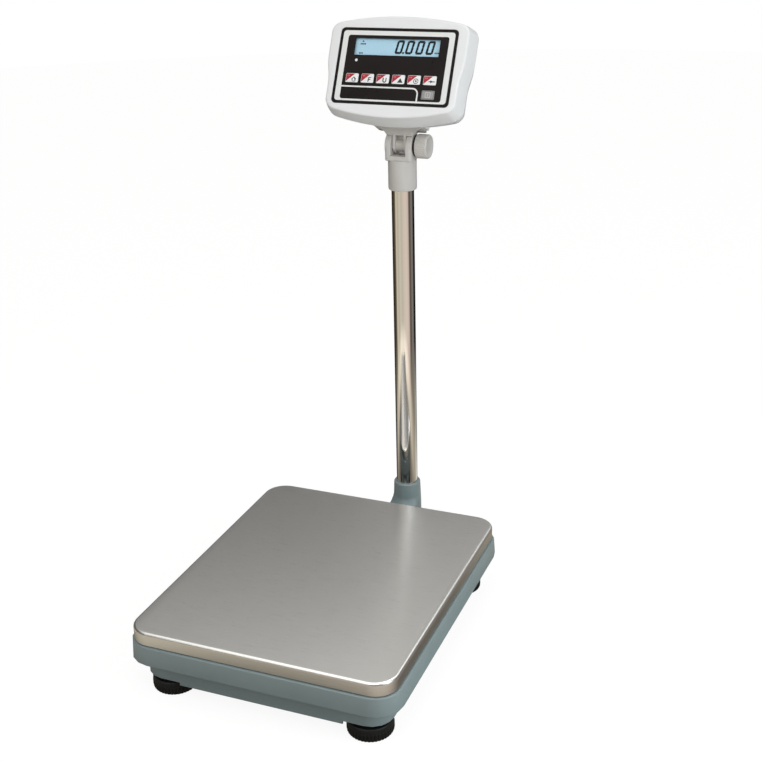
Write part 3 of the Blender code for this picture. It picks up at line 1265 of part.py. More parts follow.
def make_keys(materials, parent):
    """A cap in the panel, a shank through the shell, and a flange behind it that keeps the key in."""
    for number, (x, v, width, height) in enumerate(key_places(), 1):
        power = number > KEY_COUNT
        cap = rounded_rectangle(width, height, KEY_CORNER, 1)
        edge = rounded_rectangle(width - 2 * KEY_EDGE, height - 2 * KEY_EDGE, KEY_CORNER, 1)
        flange = rounded_rectangle(width + 2 * KEY_FLANGE, height + 2 * KEY_FLANGE, KEY_CORNER, 1)
        outlines = (
            (edge, -KEY_PROUD),
            (cap, -KEY_PROUD + KEY_EDGE),
            (cap, SHELL_WALL + GAP),
            (flange, SHELL_WALL + GAP),
            (flange, KEY_DEPTH),
        )
        face = -FACE_AHEAD
        rings = [[Vector((p.x, depth, p.y)) for p in outline] for outline, depth in outlines]
        name = "power_key" if power else f"key_{number}"
        paint = materials["grey"] if power else materials["key"]
        finish(loft(rings), name, paint, parent, (x, face, PANEL_UP + v))


# The whole scale

def make_scale():
    clear_scene()
    materials = {
        "stainless": surface("brushed_stainless", (0.42, 0.41, 0.38), 0.28, 1.0),
        "chrome": surface("polished_stainless", (0.75, 0.74, 0.71), 0.08, 1.0),
        "painted": surface("blue_grey_enamel", (0.14, 0.17, 0.165), 0.42),
        "white": surface("white_housing", (0.62, 0.61, 0.59), 0.38),
        "black": surface("black_nylon", (0.012, 0.012, 0.012), 0.5),
        "rubber": surface("black_rubber", (0.02, 0.02, 0.02), 0.8),
        "steel": surface("zinc_steel", (0.5, 0.5, 0.48), 0.35, 1.0),
        "aluminium": surface("aluminium", (0.55, 0.56, 0.57), 0.35, 1.0),
        "panel": surface("printed_panel", (0.02, 0.02, 0.02), 0.35),
        "lens": surface("clear_lens", (0.8, 0.9, 0.95), 0.05, 0.0, 0.3),
        "display": surface("display", (0.4, 0.6, 0.7), 0.3),
        "board": surface("circuit_board", (0.03, 0.14, 0.06), 0.45),
        "battery": surface("battery_case", (0.05, 0.05, 0.055), 0.5),
        "key": surface("key_white", (0.75, 0.75, 0.73), 0.4),
        "grey": surface("key_grey", (0.25, 0.25, 0.24), 0.4),
        "level": surface("level_yellow", (0.6, 0.65, 0.2), 0.15),
    }
    platform_datum = datum("platform_datum", (0, PLATFORM_Y, 0))
    column_datum = datum("column_datum", (0, COLUMN_Y, 0))
    platform = datum("weighing_platform", (0, 0, 0), platform_datum)
    pan = datum("pan_lift", (0, 0, 0), platform)
    head = datum("head_tilt", (0, 0, PIVOT_Z), column_datum, -HEAD_LEAN)
    knob = datum("knob_turn", (0, 0, PIVOT_Z), column_datum)
    feet = []
    for number, (sx, sy) in enumerate(((-1, -1), (1, -1), (1, 1), (-1, 1)), 1):
        place = (sx * FOOT_X, sy * FOOT_Y, 0)
        feet.append((place, datum(f"foot_{number}", place, platform_datum)))

    make_pan(materials["stainless"], pan)
    make_top_frame(materials["painted"], platform)
    make_buffers(materials["rubber"], platform)
    make_base(materials["painted"], platform_datum)
    make_stops(materials["steel"], platform_datum)
    make_cell(materials, platform_datum, platform)
    make_feet(materials, platform_datum, feet)
    make_bracket(materials, column_datum)
    make_tube(materials["chrome"], column_datum)
    make_level(materials, column_datum)
    make_yoke(materials["white"], column_datum)
    make_clamp(materials, column_datum, knob)
    make_front_shell(materials["white"], head)
    make_rear_shell(materials["white"], head)
    make_door(materials["white"], head)
    make_sockets(materials, head)
    make_knuckle(materials["white"], head)
    make_panel(materials, head)
    make_keys(materials, head)


make_scale()
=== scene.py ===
"""Platform scale: the finish of every surface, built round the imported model. Metres, +Z up, front at -Y."""
import json
import math

import bmesh
import bpy
import numpy as np
from mathutils import Matrix, Vector


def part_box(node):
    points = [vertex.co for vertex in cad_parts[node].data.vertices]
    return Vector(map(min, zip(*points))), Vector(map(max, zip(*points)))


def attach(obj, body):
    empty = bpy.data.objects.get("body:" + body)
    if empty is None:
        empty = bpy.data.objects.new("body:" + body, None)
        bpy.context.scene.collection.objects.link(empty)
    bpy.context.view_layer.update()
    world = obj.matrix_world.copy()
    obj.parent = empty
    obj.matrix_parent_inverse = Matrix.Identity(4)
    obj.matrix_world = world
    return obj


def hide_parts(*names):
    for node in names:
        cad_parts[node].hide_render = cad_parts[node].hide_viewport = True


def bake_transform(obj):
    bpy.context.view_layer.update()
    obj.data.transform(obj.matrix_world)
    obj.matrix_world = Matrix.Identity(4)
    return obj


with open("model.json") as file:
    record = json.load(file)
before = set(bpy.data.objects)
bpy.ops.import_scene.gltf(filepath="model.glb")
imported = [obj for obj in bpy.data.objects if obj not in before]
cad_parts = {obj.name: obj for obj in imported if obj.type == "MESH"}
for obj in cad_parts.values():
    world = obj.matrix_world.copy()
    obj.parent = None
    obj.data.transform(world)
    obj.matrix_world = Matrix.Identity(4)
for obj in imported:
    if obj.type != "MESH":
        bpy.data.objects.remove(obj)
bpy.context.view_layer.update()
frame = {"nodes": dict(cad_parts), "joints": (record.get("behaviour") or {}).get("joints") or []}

MM = 0.001
joints = {joint["name"]: joint for joint in frame["joints"]}


# Camera and studio
# The camera stands in front and to the right, a little above the display. The scale stands on a white floor
# in soft light from the right and the front. Its metal mirrors grey walls and a warm floor painted for glossy
# rays
# only: painted reflections, with painted shade round the scale.

CAMERA_AT = (0.7269, -1.6160, 1.1261)
CAMERA_RIGHT = (0.92921904, 0.3688794, -0.02190815)
CAMERA_UP = (-0.12128303, 0.36044442, 0.92486229)
CAMERA_BACK = (0.34905932, -0.85674256, 0.37967063)
LENS = 58.22
SENSOR = 36.0
FLOOR_RADIUS = 7.0
PIVOT = np.array(joints["head_tilt"]["pos_m"])
PAN_AHEAD = 0.374  # from the column forward to the pan's middle
ROOM_LIGHT = 0.60
FLOOR_WHITE = 1.26  # strength of the floor's own white
FLOOR_WHITE_SHARE = 0.72  # of what the camera sees of the floor, the rest being matt with the shadow

scene = bpy.context.scene
scene.view_settings.view_transform = "Standard"
camera_data = bpy.data.cameras.new("camera")
camera_data.lens = LENS
camera_data.sensor_width = SENSOR
camera = bpy.data.objects.new("camera", camera_data)
scene.collection.objects.link(camera)
columns = [(*axis, at) for axis, at in zip(zip(CAMERA_RIGHT, CAMERA_UP, CAMERA_BACK), CAMERA_AT)]
camera.matrix_world = Matrix((*columns, (0, 0, 0, 1)))
scene.camera = camera


def node_of(tree, kind, **settings):
    """Adds a node to a tree. A setting is one of its properties, or one of its sockets after input_."""
    made = tree.nodes.new(kind)
    for name, value in settings.items():
        if name.startswith("input_"):
            key = name.removeprefix("input_")
            made.inputs[int(key) if key.isdigit() else key].default_value = value
        else:
            setattr(made, name, value)
    return made


def ramp_of(tree, factor, stops):
    """A colour ramp read at the factor. Each stop is a place and a grey level or a colour."""
    made = tree.nodes.new("ShaderNodeValToRGB")
    elements = made.color_ramp.elements
    while len(elements) < len(stops):
        elements.new(1)
    for element, (place, colour) in zip(elements, stops):
        element.position = place
        element.color = (*colour, 1) if isinstance(colour, tuple) else (colour, colour, colour, 1)
    tree.links.new(factor, made.inputs["Fac"])
    return made.outputs["Color"]


def calculated(tree, operation, *values):
    """One Math node. Each value is a number or a socket."""
    made = tree.nodes.new("ShaderNodeMath")
    made.operation = operation
    for socket, value in zip(made.inputs, values):
        if isinstance(value, (int, float)):
            socket.default_value = value
        else:
            tree.links.new(value, socket)
    return made.outputs[0]


def bearing(tree, vector, centre_y):
    """A direction as a share of a turn, and its height. The share is the arctangent of X over the way
    ahead of centre_y, divided by a turn, plus a half: 0.5 is the front, 0.25 the left, 0.75 the right."""
    parts = node_of(tree, "ShaderNodeSeparateXYZ")
    tree.links.new(vector, parts.inputs[0])
    ahead = calculated(tree, "SUBTRACT", centre_y, parts.outputs["Y"])
    angle = calculated(tree, "ARCTAN2", parts.outputs["X"], ahead)
    return calculated(tree, "MULTIPLY_ADD", angle, 0.5 / math.pi, 0.5), parts.outputs["Z"]


def mixed(tree, share, first, second):
    """The first shader where the share is 0, the second where it is 1. The share is a number or a socket."""
    made = tree.nodes.new("ShaderNodeMixShader")
    if isinstance(share, float):
        made.inputs[0].default_value = share
    else:
        tree.links.new(share, made.inputs[0])
    tree.links.new(first, made.inputs[1])
    tree.links.new(second, made.inputs[2])
    return made.outputs[0]


# What metal sees: painted reflections, which only glossy rays meet and which light nothing. The floor is read
# round
# the column, since the tube mirrors it: warm and light in front, then a dark gap, a grey strip and dark
# behind. Close to the column it is dimmer and more even, a painted shade of the scale. Under the pan it is
# dark, a painted shadow, and brightest in a ring round it, a painted glow. The walls grow lighter with height
# up to a painted highlight overhead, and by bearing they have painted light strips, a narrow one at the back
# left and a broad one at the back right.
FLOOR_FAR = [
    (0.00, 0.01), (0.15, (0.03, 0.022, 0.014)), (0.25, (0.07, 0.055, 0.035)), (0.30, (0.16, 0.13, 0.09)),
    (0.335, (0.80, 0.72, 0.57)), (0.39, (0.60, 0.55, 0.44)), (0.45, (0.76, 0.70, 0.58)),
    (0.50, (0.66, 0.60, 0.50)), (0.56, (0.80, 0.70, 0.60)), (0.63, (0.86, 0.73, 0.63)),
    (0.69, (0.74, 0.62, 0.54)), (0.725, (0.15, 0.12, 0.10)), (0.76, (0.13, 0.10, 0.08)),
    (0.80, (0.26, 0.24, 0.22)), (0.85, (0.20, 0.18, 0.17)), (0.88, 0.012), (1.00, 0.01),
]
# Painted shade: the floor close to the column, dimmer and more even than far off, as metal mirrors it.
FLOOR_CLOSE_PAINTED_SHADE = [
    (0.00, 0.02), (0.17, 0.03), (0.22, (0.10, 0.09, 0.07)), (0.26, (0.30, 0.27, 0.22)),
    (0.32, (0.44, 0.39, 0.31)), (0.42, (0.46, 0.42, 0.34)), (0.50, (0.50, 0.46, 0.38)),
    (0.60, (0.50, 0.45, 0.38)), (0.70, (0.44, 0.39, 0.32)), (0.77, (0.28, 0.25, 0.20)),
    (0.84, (0.26, 0.23, 0.18)), (0.89, (0.50, 0.48, 0.43)), (0.96, 0.3), (1.00, 0.02),
]
CLOSE_TO_FAR = [(0.62, 0.0), (1.00, 1.0)]
# Painted shadow of the scale under the pan, and a painted glow in a ring round it, in the floor that metal
# mirrors.
PAINTED_SHADOW_AND_GLOW_BY_PAN = [(0.00, 0.30), (0.34, 0.36), (0.42, 0.9), (0.49, 1.75), (0.62, 1.75), (0.80, 1.0)]
# Painted highlight: the walls that metal mirrors brighten overhead to over three times white.
WALL_HEIGHTS = [
    (0.00, 0.28), (0.40, 0.22), (0.48, 0.29), (0.54, 0.46), (0.62, 0.68), (0.72, 0.98), (0.80, 1.7),
    (0.87, 3.2), (1.00, 3.0),
]
# Painted highlights: light strips at the back left and the back right, up to 2.6 times as strong.
WALL_BEARINGS = [
    (0.00, 0.80), (0.040, 0.86), (0.0500, 1.05), (0.0545, 1.55), (0.0575, 1.55), (0.0595, 0.72),
    (0.067, 0.68), (0.080, 0.66), (0.100, 0.78), (0.18, 0.85), (0.22, 0.7), (0.28, 0.75), (0.40, 1.05),
    (0.62, 1.05), (0.88, 0.8), (0.91, 2.6), (0.97, 2.6), (1.00, 1.0),
]

world = bpy.data.worlds.new("studio")
world.use_nodes = True
scene.world = world
tree = world.node_tree
tree.nodes.clear()
path = node_of(tree, "ShaderNodeLightPath")
place = node_of(tree, "ShaderNodeTexCoord")
turned_to, height = bearing(tree, place.outputs["Generated"], 0.0)
# Walls that only glossy rays meet and that light nothing: painted reflections.
walls = node_of(tree, "ShaderNodeBackground")
tree.links.new(ramp_of(tree, height, WALL_HEIGHTS), walls.inputs["Color"])
tree.links.new(ramp_of(tree, turned_to, WALL_BEARINGS), walls.inputs["Strength"])
soft = node_of(tree, "ShaderNodeBackground", input_Color=(0.96, 0.98, 1.0, 1), input_Strength=ROOM_LIGHT)
white = node_of(tree, "ShaderNodeBackground", input_Color=(1, 1, 1, 1), input_Strength=1.0)
seen = calculated(tree, "MAXIMUM", path.outputs["Is Camera Ray"], path.outputs["Is Transmission Ray"])
by_gloss = mixed(tree, path.outputs["Is Glossy Ray"], soft.outputs[0], walls.outputs[0])
output = node_of(tree, "ShaderNodeOutputWorld")
tree.links.new(mixed(tree, seen, by_gloss, white.outputs[0]), output.inputs["Surface"])

floor_mesh = bpy.data.meshes.new("floor")
turns = np.linspace(0, 2 * np.pi, 97)[:-1]
rim = np.stack([FLOOR_RADIUS * np.cos(turns), FLOOR_RADIUS * np.sin(turns), 0 * turns], 1)
floor_mesh.from_pydata(rim.tolist(), [], [list(range(len(rim)))])
floor = bpy.data.objects.new("floor", floor_mesh)
scene.collection.objects.link(floor)
floor_paint = bpy.data.materials.new("floor")
floor_paint.use_nodes = True
tree = floor_paint.node_tree
tree.nodes.clear()
path = node_of(tree, "ShaderNodeLightPath")
place = node_of(tree, "ShaderNodeTexCoord")
turned_to = bearing(tree, place.outputs["Object"], float(PIVOT[1]))[0]
matt = node_of(tree, "ShaderNodeBsdfDiffuse", input_Color=(0.50, 0.485, 0.46, 1))
bright = node_of(tree, "ShaderNodeEmission", input_Color=(1, 1, 1, 1), input_Strength=FLOOR_WHITE)
distances = []
for ahead in (PAN_AHEAD, 0):
    apart = node_of(tree, "ShaderNodeVectorMath", operation="DISTANCE")
    apart.inputs[1].default_value = (0, float(PIVOT[1]) - ahead, 0)
    tree.links.new(place.outputs["Object"], apart.inputs[0])
    distances.append(apart.outputs["Value"])
from_pan, from_column = distances
glows = []
for stops in (FLOOR_CLOSE_PAINTED_SHADE, FLOOR_FAR):
    glow = node_of(tree, "ShaderNodeEmission")
    tree.links.new(ramp_of(tree, turned_to, stops), glow.inputs["Color"])
    tree.links.new(ramp_of(tree, from_pan, PAINTED_SHADOW_AND_GLOW_BY_PAN), glow.inputs["Strength"])
    glows.append(glow.outputs[0])
# What glossy rays see of the floor: a painted reflection, with painted shade near the column and under the
# pan.
painted_reflection = mixed(tree, ramp_of(tree, from_column, CLOSE_TO_FAR), *glows)
shadowed = mixed(tree, FLOOR_WHITE_SHARE, matt.outputs[0], bright.outputs[0])
seen = calculated(tree, "MAXIMUM", path.outputs["Is Camera Ray"], path.outputs["Is Transmission Ray"])
by_eye = mixed(tree, seen, matt.outputs[0], shadowed)
output = node_of(tree, "ShaderNodeOutputMaterial")
tree.links.new(mixed(tree, path.outputs["Is Glossy Ray"], by_eye, painted_reflection), output.inputs["Surface"])
floor_mesh.materials.append(floor_paint)


def lamp(name, at, aim, size, power, colour, mirrored=True):
    """A square soft light at one point that faces another. Unless mirrored, it doesn't show in gloss."""
    data = bpy.data.lights.new(name, "AREA")
    data.size = size
    data.energy = power
    data.color = colour
    made = bpy.data.objects.new(name, data)
    scene.collection.objects.link(made)
    made.location = at
    made.rotation_euler = (Vector(aim) - Vector(at)).to_track_quat("-Z", "Y").to_euler()
    made.visible_glossy = mirrored


lamp("right_light", (2.2, -0.7, 1.3), (0, 0, 0.45), 1.3, 23, (0.86, 0.93, 1.0))
lamp("low_light", (0.95, -0.25, 0.16), (0.2, -0.08, 0.09), 0.25, 2.6, (0.88, 0.94, 1.0), False)
lamp("front_light", (-0.9, -2.6, 1.9), (0, 0, 0.4), 1.6, 13, (1.0, 0.98, 0.95))
lamp("head_light", (0.25, -1.0, 1.65), (0, 0.2, 0.82), 0.7, 3.8, (1.0, 0.995, 0.985))


# Pan
# A stainless tray drawn from 1.5 mm sheet, turned over so that its skirt slips down over the casting below.
# The top is brushed from side to side. The skirt's bend, polished by the tool, has the same finish here, and
# its bright line is a painted highlight mirrored from the painted bright walls overhead.

PAN_CORNER = 36 * MM
PAN_SHEET = 1.5 * MM
PAN_BEND = 4.5 * MM
PAN_RIM = 0.4 * MM  # how much the sheet's cut edge is rounded


def between(start, end, steps):
    """The points that divide a straight line into equal steps, without its ends."""
    return start + np.linspace(0, 1, steps + 1)[1:-1, None] * (end - start)


def rounded_path(width, length, radius, corner=14, side=1):
    """Points round a rectangle with quarter circles at its corners, from the right side on. Each quarter has
    as many steps as corner says, and each straight side as many as side says."""
    points = []
    for quarter, (sx, sy) in enumerate(((1, 1), (-1, 1), (-1, -1), (1, -1))):
        turn = np.pi / 2 * (quarter + np.linspace(0, 1, corner + 1))
        arc = np.stack([np.cos(turn), np.sin(turn)], 1) * radius
        arc += (sx * (width / 2 - radius), sy * (length / 2 - radius))
        if points and side > 1:
            points.append(between(points[-1][-1], arc[0], side))
        points.append(arc)
    if side > 1:
        points.append(between(points[-1][-1], points[0][0], side))
    return np.concatenate(points)


def skin(name, rows, endless=False, sharp=35):
    """A closed surface through rows of points. Both ends are capped, or an endless one's last row joins its
    first."""
    rows = np.asarray(rows, float)
    count, around = rows.shape[:2]
    index = np.arange(count * around).reshape(count, around)
    low = index if endless else index[:-1]
    high = np.roll(index, -1, 0) if endless else index[1:]
    quads = np.stack([low, np.roll(low, -1, 1), np.roll(high, -1, 1), high], -1).reshape(-1, 4).tolist()
    caps = [] if endless else [index[0][::-1].tolist(), index[-1].tolist()]
    mesh = bpy.data.meshes.new(name)
    mesh.from_pydata(rows.reshape(-1, 3).tolist(), [], quads + caps)
    return shown(name, mesh, sharp)


def shown(name, mesh, sharp=35):
    """An object of a closed mesh, with its faces turned out and shaded smooth but for its sharp edges."""
    bm = bmesh.new()
    bm.from_mesh(mesh)
    bmesh.ops.recalc_face_normals(bm, faces=bm.faces)
    bm.to_mesh(mesh)
    bm.free()
    mesh.shade_smooth()
    mesh.set_sharp_from_angle(angle=math.radians(sharp))
    made = bpy.data.objects.new(name, mesh)
    scene.collection.objects.link(made)
    return made


def settle(piece, body, paint, slot, *nodes):
    """Paints a piece, and names the body it rides on and the nodes it replaces. The slot is not used."""
    piece.data.materials.clear()
    piece.data.materials.append(paint)
    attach(piece, body)
    if nodes:
        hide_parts(*nodes)
    return piece


def group_of(name, inputs, outputs):
    """An empty node group with named number inputs and outputs, and its two end nodes."""
    made = bpy.data.node_groups.new(name, "ShaderNodeTree")
    for label, value in inputs:
        socket = made.interface.new_socket(label, in_out="INPUT", socket_type="NodeSocketFloat")
        socket.default_value = value
    for label, kind in outputs:
        made.interface.new_socket(label, in_out="OUTPUT", socket_type=kind)
    return made, made.nodes.new("NodeGroupInput"), made.nodes.new("NodeGroupOutput")


# Brushing: noise stretched along X, so that fine lines run from side to side, over slow waves in the sheet.
# On the two side skirts the lines run along Y. Tangent lies across the lines, where the metal is rougher.
brushing, entry, exit_node = group_of(
    "brushing",
    [("Lines", 2600.0), ("Stretch", 0.01), ("Depth", 0.25), ("Waves", 0.1)],
    [("Grain", "NodeSocketFloat"), ("Normal", "NodeSocketVector"), ("Tangent", "NodeSocketVector")],
)
place = node_of(brushing, "ShaderNodeTexCoord")
apart = node_of(brushing, "ShaderNodeSeparateXYZ")
facing = node_of(brushing, "ShaderNodeSeparateXYZ")
together = node_of(brushing, "ShaderNodeCombineXYZ")
across = node_of(brushing, "ShaderNodeCombineXYZ")
brushing.links.new(place.outputs["Object"], apart.inputs[0])
brushing.links.new(place.outputs["Normal"], facing.inputs[0])
on_side = calculated(brushing, "GREATER_THAN", calculated(brushing, "ABSOLUTE", facing.outputs["X"]), 0.7)
squeeze = calculated(brushing, "SUBTRACT", entry.outputs["Stretch"], 1.0)
squeeze = calculated(brushing, "MULTIPLY_ADD", squeeze, on_side, 1.0)
along = calculated(brushing, "MULTIPLY", apart.outputs["X"], entry.outputs["Stretch"])
brushing.links.new(along, together.inputs["X"])
brushing.links.new(calculated(brushing, "MULTIPLY", apart.outputs["Y"], squeeze), together.inputs["Y"])
brushing.links.new(apart.outputs["Z"], together.inputs["Z"])
lines = node_of(brushing, "ShaderNodeTexNoise", input_Detail=3.0, input_Roughness=0.6)
brushing.links.new(together.outputs[0], lines.inputs["Vector"])
brushing.links.new(entry.outputs["Lines"], lines.inputs["Scale"])
waves = node_of(brushing, "ShaderNodeTexNoise", input_Scale=4.0, input_Detail=1.0)
brushing.links.new(place.outputs["Object"], waves.inputs["Vector"])
wave_bump = node_of(brushing, "ShaderNodeBump", input_Distance=0.004)
brushing.links.new(entry.outputs["Waves"], wave_bump.inputs["Strength"])
brushing.links.new(waves.outputs["Fac"], wave_bump.inputs["Height"])
line_bump = node_of(brushing, "ShaderNodeBump", input_Distance=0.00005)
brushing.links.new(entry.outputs["Depth"], line_bump.inputs["Strength"])
brushing.links.new(lines.outputs["Fac"], line_bump.inputs["Height"])
brushing.links.new(wave_bump.outputs[0], line_bump.inputs["Normal"])
upward = calculated(brushing, "ABSOLUTE", facing.outputs["Z"])
brushing.links.new(upward, across.inputs["Y"])
brushing.links.new(calculated(brushing, "SUBTRACT", 1.0, upward), across.inputs["Z"])
brushing.links.new(lines.outputs["Fac"], exit_node.inputs["Grain"])
brushing.links.new(line_bump.outputs[0], exit_node.inputs["Normal"])
brushing.links.new(across.outputs[0], exit_node.inputs["Tangent"])


def finish_of(name, colour, roughness, metallic=0.0, **sockets):
    """A material with its plain values on the shader's own sockets. Returns it, its tree and its shader."""
    made = bpy.data.materials.new(name)
    made.use_nodes = True
    shader = made.node_tree.nodes["Principled BSDF"]
    shader.inputs["Base Color"].default_value = (*colour, 1)
    shader.inputs["Roughness"].default_value = roughness
    shader.inputs["Metallic"].default_value = metallic
    for socket, value in sockets.items():
        shader.inputs[socket.replace("_", " ")].default_value = value
    return made, made.node_tree, shader


def use_group(tree, group, **values):
    """Places a node group in a tree with its values."""
    made = tree.nodes.new("ShaderNodeGroup")
    made.node_tree = group
    for label, value in values.items():
        made.inputs[label].default_value = value
    return made


def spread(tree, factor, low, high):
    """A number between low and high as the factor goes from 0.3 to 0.7, where noise mostly lies."""
    made = node_of(tree, "ShaderNodeMapRange")
    for socket, value in zip(made.inputs[1:5], (0.3, 0.7, low, high)):
        socket.default_value = value
    tree.links.new(factor, made.inputs["Value"])
    return made.outputs["Result"]


def tinted(tree, factor, low, high):
    """A colour between two as the factor goes from 0.3 to 0.7."""
    return ramp_of(tree, factor, [(0.3, low), (0.7, high)])


stainless, tree, shader = finish_of("brushed_stainless", (0.50, 0.49, 0.465), 0.3, 1.0, Anisotropic=0.65)
grain = use_group(tree, brushing, Lines=2600.0, Stretch=0.01, Depth=0.3, Waves=0.05)
grey_grain = tinted(tree, grain.outputs["Grain"], (0.47, 0.46, 0.435), (0.53, 0.52, 0.495))
tree.links.new(grey_grain, shader.inputs["Base Color"])
tree.links.new(spread(tree, grain.outputs["Grain"], 0.27, 0.33), shader.inputs["Roughness"])
tree.links.new(grain.outputs["Normal"], shader.inputs["Normal"])
tree.links.new(grain.outputs["Tangent"], shader.inputs["Tangent"])

pan_low, pan_high = (np.array(corner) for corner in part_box("pan"))
pan_size = pan_high - pan_low
pan_middle = (pan_high + pan_low) / 2


def pan_row(inset, z):
    """The pan's outline drawn in by the inset, at a height."""
    flat = rounded_path(pan_size[0] - 2 * inset, pan_size[1] - 2 * inset, PAN_CORNER - inset)
    return np.column_stack([flat + pan_middle[:2], np.full(len(flat), z)])


bend = np.linspace(0, np.pi / 2, 9)
outer_bend = [(PAN_BEND * (1 - np.cos(t)), pan_high[2] - PAN_BEND * (1 - np.sin(t))) for t in bend]
inner_radius = PAN_BEND - PAN_SHEET
inner_bend = [
    (PAN_SHEET + inner_radius * (1 - np.cos(t)), pan_high[2] - PAN_SHEET - inner_radius * (1 - np.sin(t)))
    for t in bend[::-1]
]
rolled_rim = [
    (PAN_SHEET, pan_low[2] + PAN_RIM), (PAN_SHEET - PAN_RIM, pan_low[2]), (PAN_RIM, pan_low[2]),
    (0, pan_low[2] + PAN_RIM),
]
pan = skin("pan_tray", [pan_row(inset, z) for inset, z in inner_bend + rolled_rim + outer_bend])
settle(pan, "pan", stainless, "stainless", "pan")


# Cast frames
# Two aluminium castings, the upper one a little wider than the pan and the lower one set in, both sprayed
# with blue-grey enamel that leaves a fine orange peel. Their edges are rounded by the mould and the paint.
# The bracket behind them, cast and sprayed alike, holds the column.

CAST_EDGE = 0.8 * MM
SAME_PLACE = 2e-6  # points closer than this are one
SAME_PLANE = math.radians(0.6)  # faces that turn by less than this are one

# Peel: fine noise for the skin of a paint or a moulding, and slow noise for handling marks
peel, entry, exit_node = group_of(
    "peel",
    [("Size", 700.0), ("Depth", 0.2), ("Marks", 14.0)],
    [("Mark", "NodeSocketFloat"), ("Skin", "NodeSocketFloat"), ("Normal", "NodeSocketVector")],
)
place = node_of(peel, "ShaderNodeTexCoord")
fine = node_of(peel, "ShaderNodeTexNoise", input_Detail=2.0, input_Roughness=0.55)
slow = node_of(peel, "ShaderNodeTexNoise", input_Detail=5.0, input_Roughness=0.6)
bump = node_of(peel, "ShaderNodeBump", input_Distance=0.0003)
for noise, label in ((fine, "Size"), (slow, "Marks")):
    peel.links.new(place.outputs["Object"], noise.inputs["Vector"])
    peel.links.new(entry.outputs[label], noise.inputs["Scale"])
peel.links.new(entry.outputs["Depth"], bump.inputs["Strength"])
peel.links.new(fine.outputs["Fac"], bump.inputs["Height"])
peel.links.new(slow.outputs["Fac"], exit_node.inputs["Mark"])
peel.links.new(fine.outputs["Fac"], exit_node.inputs["Skin"])
peel.links.new(bump.outputs[0], exit_node.inputs["Normal"])


def skinned_finish(name, low, high, roughness, size, depth, marks=14.0, metallic=0.0, **sockets):
    """A finish with a fine skin, whose colour drifts from low to high and whose gloss drifts with it."""
    made, tree, shader = finish_of(name, low, roughness, metallic, **sockets)
    skin_node = use_group(tree, peel, Size=size, Depth=depth, Marks=marks)
    tree.links.new(tinted(tree, skin_node.outputs["Mark"], low, high), shader.inputs["Base Color"])
    rough = spread(tree, skin_node.outputs["Mark"], roughness - 0.04, roughness + 0.05)
    tree.links.new(rough, shader.inputs["Roughness"])
    tree.links.new(skin_node.outputs["Normal"], shader.inputs["Normal"])
    return made


def eased(node, name, width, steps=2, sharp=32):
    """A copy of a CAD piece with its flat faces joined again and its sharp edges rounded to the width."""
    source = frame["nodes"][node].data
    places = np.zeros(len(source.vertices) * 3)
    source.vertices.foreach_get("co", places)
    corners = np.zeros(len(source.loops), int)
    source.loops.foreach_get("vertex_index", corners)
    mesh = bpy.data.meshes.new(name)
    mesh.from_pydata(places.reshape(-1, 3).tolist(), [], corners.reshape(-1, 3).tolist())
    bm = bmesh.new()
    bm.from_mesh(mesh)
    bmesh.ops.remove_doubles(bm, verts=bm.verts, dist=SAME_PLACE)
    bmesh.ops.dissolve_limit(bm, angle_limit=SAME_PLANE, verts=bm.verts, edges=bm.edges)
    if width:
        least = math.radians(sharp)
        edges = [e for e in bm.edges if len(e.link_faces) == 2 and e.calc_face_angle(0) > least]
        bmesh.ops.bevel(bm, geom=edges, offset=width, offset_type="OFFSET", segments=steps, profile=0.5,
                        affect="EDGES", clamp_overlap=True)
    bm.to_mesh(mesh)
    bm.free()
    return shown(name, mesh, sharp)


enamel = skinned_finish("blue_grey_enamel", (0.169, 0.213, 0.214), (0.187, 0.231, 0.231), 0.40, 900.0, 0.28)
for node, name, body in (
    ("top_frame", "upper_casting", "platform"),
    ("base_casting", "lower_casting", "root"),
    ("column_bracket", "column_foot", "root"),
):
    settle(eased(node, name, CAST_EDGE), body, enamel, "enamel", node)


# Load cell and the screws that hold it
# A milled aluminium block that bends between its fixed end and the end that carries the upper casting. Its
# spacers are zinc plated steel, as are the screws, nuts and stops, and the pan's buffers are rubber.

THREAD_DEPTH = 0.6  # share of the pitch
THREAD_TIP = 0.72  # share of the radius that is left at a thread's end
milled = skinned_finish("milled_aluminium", (0.62, 0.63, 0.64), (0.70, 0.71, 0.72), 0.33, 1600.0, 0.2, 30.0,
                        1.0)
zinc = skinned_finish("zinc_plate", (0.55, 0.55, 0.53), (0.68, 0.68, 0.65), 0.30, 1200.0, 0.15, 60.0, 1.0)
rubber = skinned_finish("rubber", (0.022, 0.022, 0.023), (0.035, 0.035, 0.036), 0.75, 1500.0, 0.3, 40.0)


def coat(paint, *nodes):
    """Gives CAD pieces that keep their shape a finish."""
    for name in nodes:
        data = frame["nodes"][name].data
        data.materials.clear()
        data.materials.append(paint)


def dressed(paint, slot, body, width, *nodes):
    """Replaces CAD pieces by copies with rounded edges and the finish."""
    for name in nodes:
        settle(eased(name, f"{name}_eased", width * MM), body, paint, slot, name)


